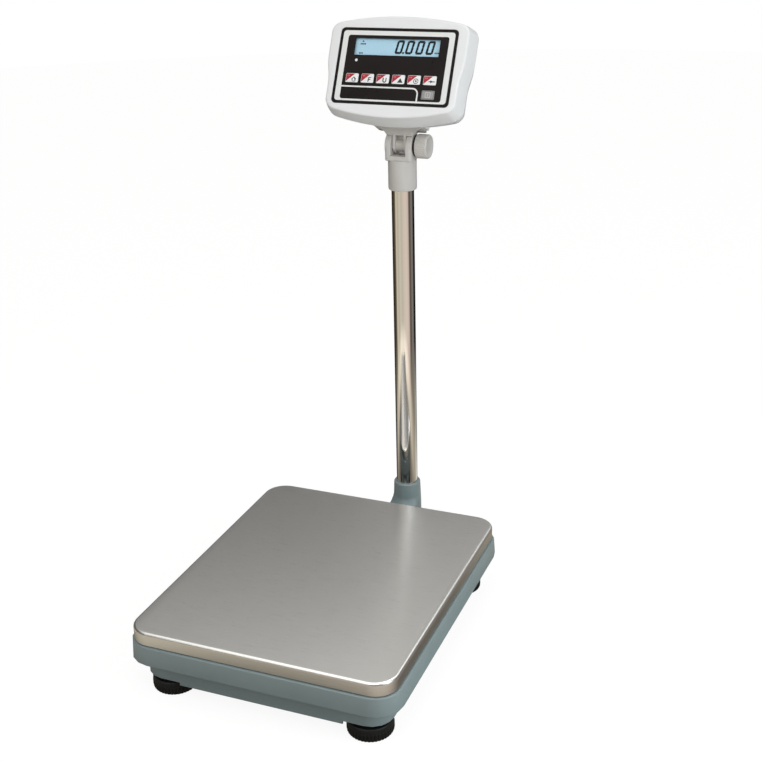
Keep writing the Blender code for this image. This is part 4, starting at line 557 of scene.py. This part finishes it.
def spun(name, profile, origin, axis=(0, 0, 1), points=64, ribs=0, endless=False, sharp=35):
    """Turns rows of radius, distance and dip, in millimetres, about an axis through a point. With ribs, the
    radius falls by the dip times the fourth power of the sine of half the angle times the ribs."""
    axis = np.asarray(axis, float)
    side = np.cross(axis, (0, 0, 1) if abs(axis[2]) < 0.9 else (0, 1, 0))
    side /= np.linalg.norm(side)
    turn = np.linspace(0, 2 * np.pi, points + 1)[:-1]
    spoke = np.cos(turn)[:, None] * side + np.sin(turn)[:, None] * np.cross(axis, side)
    wave = np.sin(ribs * turn / 2) ** 4
    rows = []
    for radius, distance, *dip in profile:
        reach = radius - (dip[0] if dip else 0) * wave
        rows.append(np.asarray(origin) + MM * (reach[:, None] * spoke + distance * axis))
    return skin(name, rows, endless, sharp)


def threaded(name, radius, length, origin, pitch=1.5, points=24, steps=6):
    """A screw thread up from a point: the radius follows a triangle wave of the height over the pitch less
    the share of a turn, and tapers off at the top. Sizes are in millimetres."""
    turn = np.linspace(0, 2 * np.pi, points + 1)[:-1]
    rows = []
    for height in np.linspace(0, length, int(length / pitch * steps) + 1):
        groove = np.abs(2 * ((height / pitch - turn / (2 * np.pi)) % 1) - 1)
        reach = np.minimum(radius - THREAD_DEPTH * pitch * groove, radius * THREAD_TIP + (length - height))
        flat = np.stack([reach * np.cos(turn), reach * np.sin(turn), np.full(points, height)], 1)
        rows.append(np.asarray(origin) + MM * flat)
    return skin(name, rows, sharp=50)


def middle_of(node):
    """The middle of a CAD piece's box, halfway between its lowest and highest corners, and those corners."""
    low, high = (np.array(corner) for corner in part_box(node))
    return (low + high) / 2, low, high


four = range(1, 5)
middle, low, high = middle_of("load_cell")
load_cell = eased("load_cell", "load_cell_eased", 0.5 * MM)
load_cell.data.materials.append(milled)
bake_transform(load_cell)
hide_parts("load_cell")
dressed(zinc, "steel", "root", 0.4, "cell_spacer_lower", "cell_bolt_lower_1", "cell_bolt_lower_2",
        "socket_screw_1", "socket_screw_2",
        *(f"{kind}_{i}" for kind in ("overload_stop", "lock_nut", "bracket_bolt") for i in four))
dressed(zinc, "steel", "platform", 0.4, "cell_spacer_upper", "cell_bolt_upper_1", "cell_bolt_upper_2")
dressed(rubber, "rubber", "platform", 0.5, *(f"pan_buffer_{i}" for i in four))


# Levelling feet
# A black nylon wheel on a threaded steel stud. Its upper part is plain, and ribs for the fingers run round
# below it.

WHEEL_RIBS = 40
WHEEL_PROFILE = [  # radius, height and depth of the ribs
    (5.4, 8.5, 0), (5.4, 23.6, 0), (9.6, 23.6, 0), (10.6, 23.0, 0), (11.4, 20.4, 0), (12.4, 20.0, 0),
    (27.0, 20.0, 0), (28.4, 20.4, 0), (29.2, 21.6, 0), (30.0, 22.0, 0), (32.2, 21.9, 0), (33.2, 21.3, 0),
    (33.8, 20.2, 0), (33.9, 14.8, 0), (33.9, 13.6, 0), (34.5, 12.8, 0.7), (34.6, 11.6, 1.3),
    (34.6, 5.0, 1.5), (34.2, 2.6, 1.3), (33.2, 0.9, 0.7), (31.6, 0.1, 0), (30.8, 0.0, 0), (8.0, 0.0, 0),
    (6.0, 0.8, 0),
]

nylon = skinned_finish("black_nylon", (0.007, 0.007, 0.0065), (0.011, 0.011, 0.010), 0.46, 900.0, 0.3, 30.0,
                       Specular_IOR_Level=0.28)
STUD_RADIUS = 5.0
for number in four:
    middle, low, high = middle_of(f"foot_wheel_{number}")
    at = (middle[0], middle[1], low[2])
    wheel = spun(f"levelling_wheel_{number}", WHEEL_PROFILE, at, points=WHEEL_RIBS * 8, ribs=WHEEL_RIBS)
    settle(wheel, f"foot_{number}", nylon, "black_plastic", f"foot_wheel_{number}")
    middle, low, high = middle_of(f"foot_stud_{number}")
    at = (middle[0], middle[1], low[2])
    stud = threaded(f"levelling_stud_{number}", STUD_RADIUS, (high[2] - low[2]) / MM, at)
    settle(stud, f"foot_{number}", zinc, "steel", f"foot_stud_{number}")


# Column
# A drawn stainless tube, polished so that it mirrors in long upright streaks the painted floor and walls that
# only metal sees: painted reflections.
# Its ends are cut square and rounded a little.

TUBE_WALL = 1.5
TUBE_EDGE = 0.4
polished, tree, shader = finish_of("polished_stainless", (0.74, 0.725, 0.70), 0.07, 1.0)
skin_node = use_group(tree, peel, Size=60.0, Depth=0.02, Marks=9.0)
tree.links.new(spread(tree, skin_node.outputs["Mark"], 0.045, 0.10), shader.inputs["Roughness"])
tree.links.new(skin_node.outputs["Normal"], shader.inputs["Normal"])
middle, low, high = middle_of("column_tube")
outer = (high[0] - low[0]) / 2 / MM
inner = outer - TUBE_WALL
tall = (high[2] - low[2]) / MM
tube_profile = [
    (inner, TUBE_EDGE), (inner + TUBE_EDGE, 0), (outer - TUBE_EDGE, 0), (outer, TUBE_EDGE),
    (outer, tall - TUBE_EDGE), (outer - TUBE_EDGE, tall),
    (inner + TUBE_EDGE, tall), (inner, tall - TUBE_EDGE),
]
tube = spun("polished_tube", tube_profile, (middle[0], middle[1], low[2]), points=128, endless=True)
settle(tube, "root", polished, "polished_tube", "column_tube")


# Bubble level
# An aluminium cup let into the bracket's arm, with yellow-green spirit, a bubble and a ring printed on its
# lens. The profiles are radius and height, in millimetres.

spirit = skinned_finish("level_spirit", (0.42, 0.52, 0.04), (0.50, 0.60, 0.06), 0.12, 300.0, 0.0, 30.0,
                        Coat_Weight=1.0)
bubble_paint = finish_of("level_bubble", (0.75, 0.80, 0.45), 0.06, Coat_Weight=1.0)[0]
level_ring = finish_of("level_ring", (0.02, 0.02, 0.02), 0.4)[0]
middle, low, high = middle_of("spirit_level")
at = (middle[0], middle[1], low[2])
cup_profile = [
    (6.0, 3.6), (6.0, 5.0), (6.3, 5.2), (7.4, 5.2), (7.9, 4.8), (8.0, 4.3), (8.0, 0.0), (6.0, 0.0),
    (5.8, 0.3),
]
settle(spun("level_cup", cup_profile, at, points=48), "root", milled, "aluminium", "spirit_level")
lens_profile = [(5.9, 3.7), (5.9, 4.7), (5.2, 4.9), (2.0, 5.02), (0.3, 5.04)]
settle(spun("level_lens", lens_profile, at, points=48), "root", spirit, "level")
ring_profile = [(2.7, 5.03), (2.7, 5.07), (3.1, 5.06), (3.1, 5.02)]
settle(spun("level_mark", ring_profile, at, points=48, endless=True), "root", level_ring, "level")
bubble = [(1.9, 5.06), (1.8, 5.16), (1.3, 5.30), (0.6, 5.38), (0.1, 5.40)]
settle(spun("level_bubble", bubble, at, points=32), "root", bubble_paint, "level")


# Tilting joint
# A sleeve with two ears on the tube, and a knuckle between them that carries the head. Both are moulded in
# a greyer white than the head, as is the fluted knob, which pulls the ears together. A black ring round its
# hub
# is painted shade: the dark gap between the ear and the knob.

SHELL_SKIN = (1500.0, 0.22, 9.0)  # size and depth of the moulded grain, and size of its marks
moulded = skinned_finish("white_housing", (0.775, 0.768, 0.752), (0.805, 0.80, 0.785), 0.36, *SHELL_SKIN)
fitting = skinned_finish("white_fittings", (0.50, 0.475, 0.44), (0.53, 0.505, 0.47), 0.38, *SHELL_SKIN)
yoke = eased("tilt_yoke", "yoke", 0.9 * MM, 3)
settle(yoke, "root", fitting, "white_plastic", "tilt_yoke")
knuckle = eased("tilt_knuckle", "knuckle", 0.7 * MM, 3)
settle(knuckle, "head", fitting, "white_plastic", "tilt_knuckle")
dressed(zinc, "steel", "root", 0.3, "clamp_bolt")

KNOB_RIBS = 36
KNOB_LENGTH = 21.0
middle, low, high = middle_of("clamp_knob")
at = (low[0], PIVOT[1], PIVOT[2])
far = (high[0] - low[0]) / MM
near = far - KNOB_LENGTH
knob_profile = [  # radius, distance and depth of the ribs: the bore, the hub, the grip and the dished end
    (0.3, far - 5.0), (3.9, far - 5.0), (4.3, far - 5.4), (4.3, 0.4), (4.7, 0), (11.0, 0),
    (11.0, near - 1.2), (11.4, near - 0.5), (12.4, near, 0), (18.6, near, 0), (19.6, near + 0.6, 0.3),
    (20.0, near + 1.8, 0.6), (20.0, far - 3.6, 0.6), (19.8, far - 2.2, 0.5), (19.2, far - 1.0, 0.2),
    (18.2, far - 0.2, 0), (17.0, far, 0), (15.6, far - 0.2, 0), (14.6, far - 0.9, 0), (9.0, far - 1.4, 0),
    (0.3, far - 1.5, 0),
]
knob = spun("fluted_knob", knob_profile, at, (1, 0, 0), KNOB_RIBS * 8, KNOB_RIBS)
settle(knob, "knob", fitting, "white_plastic", "clamp_knob")
# Painted shade: a black ring round the knob's hub, for the shade in the gap between the ear and the knob.
shade_ring_profile = [(11.15, 0.4), (11.15, 3.6), (16.4, 3.6), (17.2, 3.0), (17.2, 0.9), (16.6, 0.4)]
shade_ring = spun("painted_shade_ring", shade_ring_profile, at, (1, 0, 0), 72, endless=True)
settle(shade_ring, "knob", nylon, "black_plastic")


# Head shells
# A dished front with a rolled edge round its face, waisted sides and a pocket for the panel, and a tapering
# back that holds the battery. They meet in an open seam. Sizes are in millimetres on the face: across, up
# and, for depths, behind it.

INTO = np.array(joints["key_1_press"]["axis"])
UP = np.cross((1, 0, 0), INTO)
FACE = middle_of("keypad_overlay")[0] - 0.5 * MM * INTO
HEAD_HALF = 114.4  # half the head's width and height
HEAD_TALL = 80.0
HEAD_CORNER = 15
WAIST_DRAW = 3.2  # how far the sides swell out above the waist and draw in below it
WAIST_DOWN = 8
WAIST_SPAN = 16
FACE_ROLL = (3.6, 3.2)  # width and depth of the rolled edge
FLARE = 5  # how far the front widens towards the seam
SHELL = 2.5  # wall of the back
SEAM = 32.0  # depth of the seam, and of the back at its lower and upper edges
BACK_LOW = 85.0
BACK_HIGH = 60.0
BACK_CURVE = 2.2
WINDOW = (190.6, 116, 3)  # width, height and corner: the opening behind the panel, then the panel's pocket
POCKET = (200.6, 126, 7.3)
POCKET_MOUTH = (201.2, 126.6, 7.6)


def on_face(flat, depth):
    """Places across and up the face and behind it by the depth, in millimetres, as places in the scene: the
    face's middle plus each amount along its own direction."""
    flat = np.asarray(flat, float)
    depth = np.broadcast_to(depth, len(flat))
    across = flat[:, :1] * np.array((1.0, 0, 0))
    return FACE + MM * (across + flat[:, 1:2] * UP + depth[:, None] * INTO)


def head_path(inset, corner=10, side=24):
    """The head's outline: a rounded rectangle whose half-width follows a hyperbolic tangent of the height,
    and whose top and bottom fall away with the square of the distance from the middle."""
    x, v = rounded_path(2 * HEAD_HALF, 2 * HEAD_TALL, HEAD_CORNER, corner, side).T
    half = HEAD_HALF + WAIST_DRAW * np.tanh((v + WAIST_DOWN) / WAIST_SPAN)
    x = x / HEAD_HALF * (half - inset)
    arch = HEAD_TALL + np.where(v > 0, 3 - 0.95e-3 * x * x, 3.5 - 1.25e-3 * x * x)
    return np.stack([x, v / HEAD_TALL * (arch - inset)], 1)


def back_depth(v):
    """How deep the back lies at a height on the face: it slopes evenly from its lower to its upper edge."""
    return BACK_LOW + (BACK_HIGH - BACK_LOW) * (v + HEAD_TALL) / (2 * HEAD_TALL)


def head_row(inset, depth, share=0.0, short=0.0):
    """A row of the head's outline at a depth, or a share of the way from there to a little short of the
    back."""
    flat = head_path(inset)
    return on_face(flat, depth + share * (back_depth(flat[:, 1]) - short - depth))


def plate_path(width, height, radius, x=0.0, v=0.0, corner=10, side=24):
    """A rounded rectangle on the face, in millimetres."""
    return rounded_path(width, height, radius, corner, side) + (x, v)


def block(name, x, v, depth):
    """A block in the head's directions, between two values of each."""
    flat = [(x[0], v[0]), (x[1], v[0]), (x[1], v[1]), (x[0], v[1])]
    return skin(name, [on_face(flat, d) for d in depth])


def carved(piece, add=(), cut=(), sharp=35):
    """Joins tools to a piece, cuts others from it, and takes the tools away."""
    for operation, tools in (("UNION", add), ("DIFFERENCE", cut)):
        for tool in tools:
            modifier = piece.modifiers.new(operation.lower(), "BOOLEAN")
            modifier.operation = operation
            modifier.solver = "EXACT"
            modifier.object = tool
    graph = bpy.context.evaluated_depsgraph_get()
    piece.data = bpy.data.meshes.new_from_object(piece.evaluated_get(graph))
    piece.modifiers.clear()
    for tool in (*add, *cut):
        bpy.data.objects.remove(tool)
    piece.data.shade_smooth()
    piece.data.set_sharp_from_angle(angle=math.radians(sharp))
    return piece


# The front: round the rolled edge, back along the sides, in at the seam, forward inside, out by the pocket
rows = []
for t in np.linspace(0, np.pi / 2, 7):
    rows.append(head_row(FACE_ROLL[0] * (1 - np.sin(t)), FACE_ROLL[1] * (1 - np.cos(t))))
for t in np.linspace(0, 1, 9)[1:]:
    rows.append(head_row(-FLARE * t - 0.5 * np.sin(np.pi * t), FACE_ROLL[1] + (SEAM - 3.6) * t))
rows += [head_row(-4.6, SEAM), head_row(-2.5, SEAM), head_row(2.5, 4.2), head_row(4.5, 2.8)]
rows += [on_face(plate_path(*WINDOW), depth) for depth in (2.6, 1.2)]
rows += [on_face(plate_path(*POCKET), depth) for depth in (1.2, 0.35)]
rows.append(on_face(plate_path(*POCKET_MOUTH), 0))
front = skin("front_housing", rows, endless=True)
settle(front, "head", moulded, "white_plastic", "front_shell")

# The back: forward along the inner wall, over the tongue that enters the front, and back along the outside
rows = []
for t in np.linspace(1, 0, 9):
    rows.append(head_row(-0.1 + 18.1 * t, SEAM + 4, 1 - (1 - t) ** BACK_CURVE, SHELL))
rows += [head_row(-0.1, SEAM - 2.7), head_row(-1.6, SEAM - 2.7), head_row(-1.6, SEAM + 0.3)]
rows += [head_row(-4.6, SEAM + 0.3), head_row(-5, SEAM + 0.7), head_row(-4.8, SEAM + 2.5)]
for t in np.linspace(0, 1, 18):
    rows.append(head_row(-4.5 + 22.5 * t, SEAM + 4.3, 1 - (1 - t) ** BACK_CURVE))
rear = skin("rear_housing", rows)

SLOPE = np.array((0, BACK_LOW - BACK_HIGH, 2 * HEAD_TALL)) / math.hypot(BACK_LOW - BACK_HIGH, 2 * HEAD_TALL)
BACK_UP = SLOPE[2] * UP - SLOPE[1] * INTO
BACK_OUT = SLOPE[2] * INTO + SLOPE[1] * UP
BACK_MIDDLE = FACE + MM * back_depth(0) * INTO


def on_back(x, w, out=0.0):
    """A place on the sloping back, in millimetres: across, up it from the panel's middle and out from it."""
    return BACK_MIDDLE + MM * (x * np.array((1.0, 0, 0)) + w * BACK_UP + out * BACK_OUT)


def back_plate(name, path, low, high):
    """An outline on the back, carried from one distance out of it to another."""
    return skin(name, [[on_back(x, w, out) for x, w in path] for out in (low, high)])


# What joins the back, a pad for the knuckle's flange, and what is cut from it: the flange's recess, the
# battery's hatch, and the holes for the power inlet and the lead
FLANGE_SEAT = 27.8 - 103.0
TOOL_REACH = (-12, 9)  # how far in and out of the back the tools go
INLET = (78.0, -38.0)
GLAND = (-78.0, -38.0)
BORE = 6.3
pad = block("pad", (-45.6, 45.6), (FLANGE_SEAT - 3, FLANGE_SEAT + 16), (40.4, 80.6))
recess = block("recess", (-42.6, 42.6), (FLANGE_SEAT - 30, FLANGE_SEAT), (43.4, 100.0))
hatch = back_plate("hatch", rounded_path(105, 74, 3, 4) + (0, -21), *TOOL_REACH)
bore_profile = [(BORE, out) for out in TOOL_REACH]
bores = [spun("bore", bore_profile, on_back(*at), BACK_OUT, 32) for at in (INLET, GLAND)]
carved(rear, [pad], [recess, hatch, *bores])
settle(rear, "head", moulded, "white_plastic", "rear_shell")
dressed(moulded, "white_plastic", "head", 0.35, "battery_door")

socket_profile = [
    (3.6, -5), (3.6, 2.4), (4.0, 2.8), (6.4, 2.8), (7.4, 2.6), (8.0, 2.0), (8.0, 0.3), (6.0, 0.3),
    (6.0, -8.6), (5.6, -9),
]
socket = spun("inlet_socket", socket_profile, on_back(*INLET), BACK_OUT, 48)
settle(socket, "head", nylon, "black_plastic", "power_inlet")
gland_profile = [
    (3.0, -7), (3.0, 11.8, 0), (3.4, 12.0, 0), (5.6, 11.6, 0), (6.6, 10.4, 0), (7.2, 9.8, 0.5),
    (7.6, 6.0, 0.5), (7.8, 5.6, 0), (8.6, 5.0, 0), (9.0, 4.4, 0), (9.0, 0.5, 0), (8.8, 0.3, 0),
    (6.0, 0.3, 0), (6.0, -9, 0),
]
gland = spun("lead_gland", gland_profile, on_back(*GLAND), BACK_OUT, 96, 16)
settle(gland, "head", nylon, "black_plastic", "cable_gland")


CROSS_HALF = 0.16
CROSS_REACH = 0.58


def cross_screw(name, origin, axis, radius, body):
    """A round-headed screw with a cross recess. The recess's outline is the smaller of an arm's reach and
    half its width over the smaller of the sine and cosine. Both are shares of the screw's radius."""
    axis = np.asarray(axis, float)
    side = np.cross(axis, (0.3, 0.2, 1.0))
    side /= np.linalg.norm(side)
    turn = np.linspace(0, 2 * np.pi, 49)[:-1]
    spoke = np.cos(turn)[:, None] * side + np.sin(turn)[:, None] * np.cross(axis, side)
    least = np.maximum(np.minimum(np.abs(np.sin(turn)), np.abs(np.cos(turn))), 1e-3)
    cross = np.minimum(radius * CROSS_HALF / least, radius * CROSS_REACH)
    shares = ((0.55, 0.0), (1.0, 0.0), (0.97, 0.14), (0.85, 0.32), (0.68, 0.44))
    rows = [origin + MM * radius * (share * spoke + rise * axis) for share, rise in shares]
    rows.append(origin + MM * (cross[:, None] * 1.04 * spoke + radius * 0.47 * axis))
    rows.append(origin + MM * (cross[:, None] * 0.8 * spoke + radius * 0.1 * axis))
    screw = skin(name, rows, sharp=40)
    return settle(screw, body, zinc, "steel")


for number, (x, w) in enumerate(((-84, 46), (84, 46), (-84, -16), (84, -16)), 1):
    cross_screw(f"housing_screw_{number}", on_back(x, w, 0.05), BACK_OUT, 3.4, "head")
cross_screw("door_screw", on_back(0, -55, 2.55), BACK_OUT, 3.0, "head")


# Panel
# A printed sheet in the pocket: a black line round a white frame, and a black field that holds the display,
# a lamp and a rule that turns round the power key. The print is a thin layer on the face.

PRINT_SKIN = (1800.0, 0.12, 12.0)
ink_black = skinned_finish("panel_black", (0.0085, 0.006, 0.0055), (0.011, 0.0075, 0.007), 0.30, 1800.0,
                           0.08, 12.0, Specular_IOR_Level=0.12)
ink_white = skinned_finish("panel_white", (0.74, 0.735, 0.705), (0.77, 0.765, 0.735), 0.34, *PRINT_SKIN)
ink_red = finish_of("print_red", (0.36, 0.008, 0.022), 0.34)[0]
ink_dark = finish_of("print_dark", (0.022, 0.018, 0.018), 0.34)[0]
ink_pink = finish_of("print_pink", (0.62, 0.20, 0.20), 0.34)[0]
ink_pale = finish_of("print_pale", (0.50, 0.49, 0.47), 0.34)[0]
dressed(ink_black, "panel", "head", 0.0, "keypad_overlay")


def printed(name, outlines, low, high, paint, slot, body="head"):
    """Flat shapes of ink on the face. Each outline is carried from one depth to another and closed."""
    places, faces = [], []
    for outline in outlines:
        count, first = len(outline), sum(len(p) for p in places)
        places += [on_face(outline, low), on_face(outline, high)]
        near, behind = range(first, first + count), range(first + count, first + 2 * count)
        faces += [list(near), list(behind)[::-1]]
        for i in range(count):
            j = (i + 1) % count
            faces.append([near[i], behind[i], behind[j], near[j]])
    mesh = bpy.data.meshes.new(name)
    mesh.from_pydata(np.concatenate(places).tolist(), [], faces)
    return settle(shown(name, mesh), body, paint, slot)


def band(name, outer, inner, low, high, paint, slot, body="head"):
    """A flat ring of ink between two outlines with the same number of points."""
    rows = [on_face(outer, low), on_face(inner, low), on_face(inner, high), on_face(outer, high)]
    return settle(skin(name, rows, endless=True), body, paint, slot)


def stroke(points, width):
    """The outline of a line along points: each is moved to both sides of the line by half its width."""
    points = np.asarray(points, float)
    ahead = np.gradient(points, axis=0)
    ahead /= np.linalg.norm(ahead, axis=1)[:, None]
    aside = np.stack([-ahead[:, 1], ahead[:, 0]], 1) * width / 2
    return np.concatenate([points + aside, (points - aside)[::-1]])


def arc(x, v, radius, start, end, steps=12):
    """Points on a circle between two angles in degrees."""
    turn = np.radians(np.linspace(start, end, steps + 1))
    return np.stack([x + radius * np.cos(turn), v + radius * np.sin(turn)], 1)


INK = (0.02, 0.07)
RULE_WIDTH = 2.4
frame_edges = (plate_path(190.2, 115.8, 5), plate_path(172, 105.5, 4, 0, -2.25))
band("white_frame", *frame_edges, *INK, ink_white, "panel")
corner_turn = arc(36.8, -43.6, 9.2, 90, 0)
rule_path = np.concatenate([[(-86, -34.4), (-40, -34.4), (0, -34.4)], corner_turn, [(46, -50), (46, -55)]])
printed("panel_rule", [stroke(rule_path, RULE_WIDTH)], *INK, ink_white, "panel")
printed("status_lamp", [arc(-66.6, 9, 2.3, 0, 345, 23)], -0.02, 0.05, ink_white, "panel")


# Display
# A clear lens over a pale blue liquid crystal, which shows 0.000 in slanted seven-segment digits between
# small marks at its ends.

lens = finish_of("clear_lens", (0.25, 0.30, 0.33), 0.03, Alpha=0.05, IOR=1.45, Specular_IOR_Level=0.3)[0]
crystal = skinned_finish("liquid_crystal", (0.47, 0.74, 0.88), (0.50, 0.77, 0.91), 0.4, 2200.0, 0.05, 5.0)
segment_ink = finish_of("segment_ink", (0.004, 0.006, 0.009), 0.5, Specular_IOR_Level=0.1)[0]
coat(lens, "lcd_window")
coat(crystal, "lcd_module")

DIGIT_TALL = 19.0  # between the middles of the top and bottom segments, in millimetres
DIGIT_WIDE = 8.9
DIGIT_PITCH = 17.4
DIGIT_LOW = 24.0
LAST_DIGIT = 49.4
SEGMENT = 3.7
SEGMENT_GAP = SEGMENT * 0.16
SLANT = 0.16
ON_CRYSTAL = (4.18, 4.26)


def bar(a, b):
    """One segment between two places: a bar with its corners cut so that it ends in a blunt point."""
    a, b = np.array(a, float), np.array(b, float)
    along = (b - a) / np.linalg.norm(b - a)
    aside = np.array((-along[1], along[0])) * SEGMENT / 2
    a, b = a - along * SEGMENT * 0.24, b + along * SEGMENT * 0.24
    inset, blunt = along * SEGMENT * 0.30, aside * 0.6
    return np.array([
        a + blunt, a + inset + aside, b - inset + aside, b + blunt,
        b - blunt, b - inset - aside, a + inset - aside, a - blunt,
    ])


def leaning(outline, x):
    """Moves an outline to a digit's place and leans it by its height."""
    outline = np.asarray(outline, float)
    return outline + np.stack([x + SLANT * outline[:, 1], np.full(len(outline), DIGIT_LOW)], 1)


half_tall = DIGIT_TALL / 2
zero = [
    bar((x, low + SEGMENT_GAP), (x, high - SEGMENT_GAP))
    for x in (0, DIGIT_WIDE) for low, high in ((0, half_tall), (half_tall, DIGIT_TALL))
]
zero += [bar((SEGMENT_GAP, v), (DIGIT_WIDE - SEGMENT_GAP, v)) for v in (0, DIGIT_TALL)]
shapes = []
for before_last in (3, 2, 1, 0):
    shapes += [leaning(outline, LAST_DIGIT - DIGIT_PITCH * before_last) for outline in zero]
point = np.array([(-1.5, -1.5), (1.5, -1.5), (1.5, 1.5), (-1.5, 1.5)])
shapes.append(leaning(point, LAST_DIGIT - DIGIT_PITCH * 3 + DIGIT_WIDE + 4.0))
printed("digits", shapes, *ON_CRYSTAL, segment_ink, "display")
pointer = np.array([(-62.6, 40.6), (-58.8, 40.6), (-60.7, 43.6)])
bars = [np.array([(x, v), (x + 1.7, v), (x + 1.7, v + 2.4), (x, v + 2.4)]) for x, v in (
    (-65.0, 36.2), (-62.6, 36.2), (-60.2, 36.2), (-57.8, 36.2),
    (-65.6, 21.0), (-63.2, 21.0), (-60.8, 21.0), (63.4, 24.0), (65.9, 24.0), (68.4, 24.0),
)]
printed("annunciators", [pointer, *bars], *ON_CRYSTAL, segment_ink, "display")


# Keys
# Seven caps that stand half a millimetre out of the panel. Six are split by a diagonal into dark red and
# white, with a plain mark on the white. The power key is grey, with a rounded square and a bar.

key_cap = skinned_finish("key_white", (0.80, 0.79, 0.78), (0.83, 0.82, 0.81), 0.34, *PRINT_SKIN)
power_cap = skinned_finish("key_grey", (0.27, 0.265, 0.25), (0.30, 0.295, 0.28), 0.36, *PRINT_SKIN)
ink_shade = finish_of("print_shade", (0.13, 0.128, 0.12), 0.34)[0]


def key_middle(name):
    """A key's place across and up the face: its middle's offset from the face's, along each direction."""
    offset = middle_of(name)[0] - FACE
    return offset[0] / MM, float(offset @ UP) / MM


house = [
    (-2.9, -0.3), (0, 2.6), (2.9, -0.3), (2.0, -0.3), (2.0, -3.0), (-2.0, -3.0), (-2.0, -0.3), (-2.9, -0.3),
]
cup = [(-2.0, 3.0), (-2.0, -1.4), (-1.0, -2.7), (1.0, -2.7), (2.0, -1.4), (2.0, 3.0)]
MARKS = {
    1: [stroke(house, 1.0)],
    2: [
        stroke([(-1.3, -3.0), (-0.4, 3.0)], 1.3), stroke([(-0.4, 2.5), (2.6, 2.5)], 1.1),
        stroke([(-0.6, 0.1), (1.8, 0.1)], 1.1),
    ],
    3: [stroke(cup, 1.4)],
    4: [np.array([(-3.8, -2.8), (3.8, -2.8), (0, 3.2)])],
    5: [stroke(arc(0, 0, 3.0, 0, 350, 28), 0.9), arc(0, 0, 1.2, 0, 330, 11)],
    6: [stroke([(-4.2, 0), (4.2, 0)], 1.1), np.array([(-1.8, -2.0), (1.8, 0), (-1.8, 2.0)])],
}
KEY_CAP = ((-1.0, -0.5), (-0.4, -0.42), (0, -0.15), (0, 2.8), (3.2, 2.8), (3.2, 4.0))  # growth and depth
CAP_CORNER = 1.5
KEY_WIDE = 21.5
KEY_TALL = 14.6
POWER_TALL = 14.5
RED_EDGE = 0.6  # from the cap's side to the red
RED_CORNER = 1.2
ON_KEY = (-0.56, -0.515)
ON_RED = (-0.60, -0.565)


def capped(name, x, v, wide, tall, paint, slot):
    """A key's cap with a soft edge, its shank and the flange behind the shell."""
    rows = []
    for grow, depth in KEY_CAP:
        corner = CAP_CORNER + max(grow, -0.4) / 2
        rows.append(on_face(plate_path(wide + grow, tall + grow, corner, x, v, 6, 2), depth))
    settle(skin(f"{name}_cap", rows), name, paint, slot, name)


for number in range(1, 7):
    name = f"key_{number}"
    x, v = key_middle(name)
    capped(name, x, v, KEY_WIDE, KEY_TALL, key_cap, "key_print")
    left, right = x - KEY_WIDE / 2 + RED_EDGE, x + KEY_WIDE / 2 - RED_EDGE
    low, high = v - KEY_TALL / 2 + RED_EDGE, v + KEY_TALL / 2 - RED_EDGE
    rounded = arc(left + RED_CORNER, high - RED_CORNER, RED_CORNER, 90, 180, 5)
    red = np.concatenate([[(left, low + 0.6), (right - 5.6, high)], rounded])
    printed(f"{name}_red", [red], *ON_KEY, ink_red, "key_print", name)
    marks = [mark * 1.25 + (x + 3.4, v - 1.9) for mark in MARKS[number]]
    printed(f"{name}_mark", marks, *ON_KEY, ink_dark, "key_print", name)
    dots = [arc(x + dx, v + 3.8, 0.95, 0, 330, 11) for dx in (-7.4, -4.9)]
    printed(f"{name}_dots", dots, *ON_RED, ink_pink, "key_print", name)

x, v = key_middle("power_key")
capped("power_key", x, v, KEY_WIDE, POWER_TALL, power_cap, "power_print")
edge = [plate_path(w, t, 1.2, x, v, 6, 2) for w, t in ((20.4, 13.4), (18.6, 11.6))]
band("power_edge", *edge, *ON_KEY, ink_shade, "power_print", "power_key")
square = [plate_path(w, w, 1.6, x, v, 6, 2) for w in (9.0, 7.0)]
band("power_frame", *square, *ON_KEY, ink_pale, "power_print", "power_key")
upright = stroke([(x, v - 2.4), (x, v + 2.4)], 1.3)
printed("power_mark", [upright], *ON_KEY, ink_pale, "power_print", "power_key")


# Inside the head
# A green board with tinned pads and small parts, and a sealed battery in a dark case with two terminals.

board = skinned_finish("circuit_board", (0.012, 0.085, 0.03), (0.02, 0.12, 0.045), 0.38, 500.0, 0.3, 90.0)
case = skinned_finish("battery_case", (0.03, 0.032, 0.036), (0.04, 0.042, 0.046), 0.48, 900.0, 0.2, 20.0)
coat(board, "main_board")
coat(case, "battery")
for number, x in enumerate((-42, 42), 1):
    terminal = block(f"battery_terminal_{number}", (x - 3, x + 3), (14.1, 20.5), (26.0, 26.8))
    settle(terminal, "head", zinc, "steel")
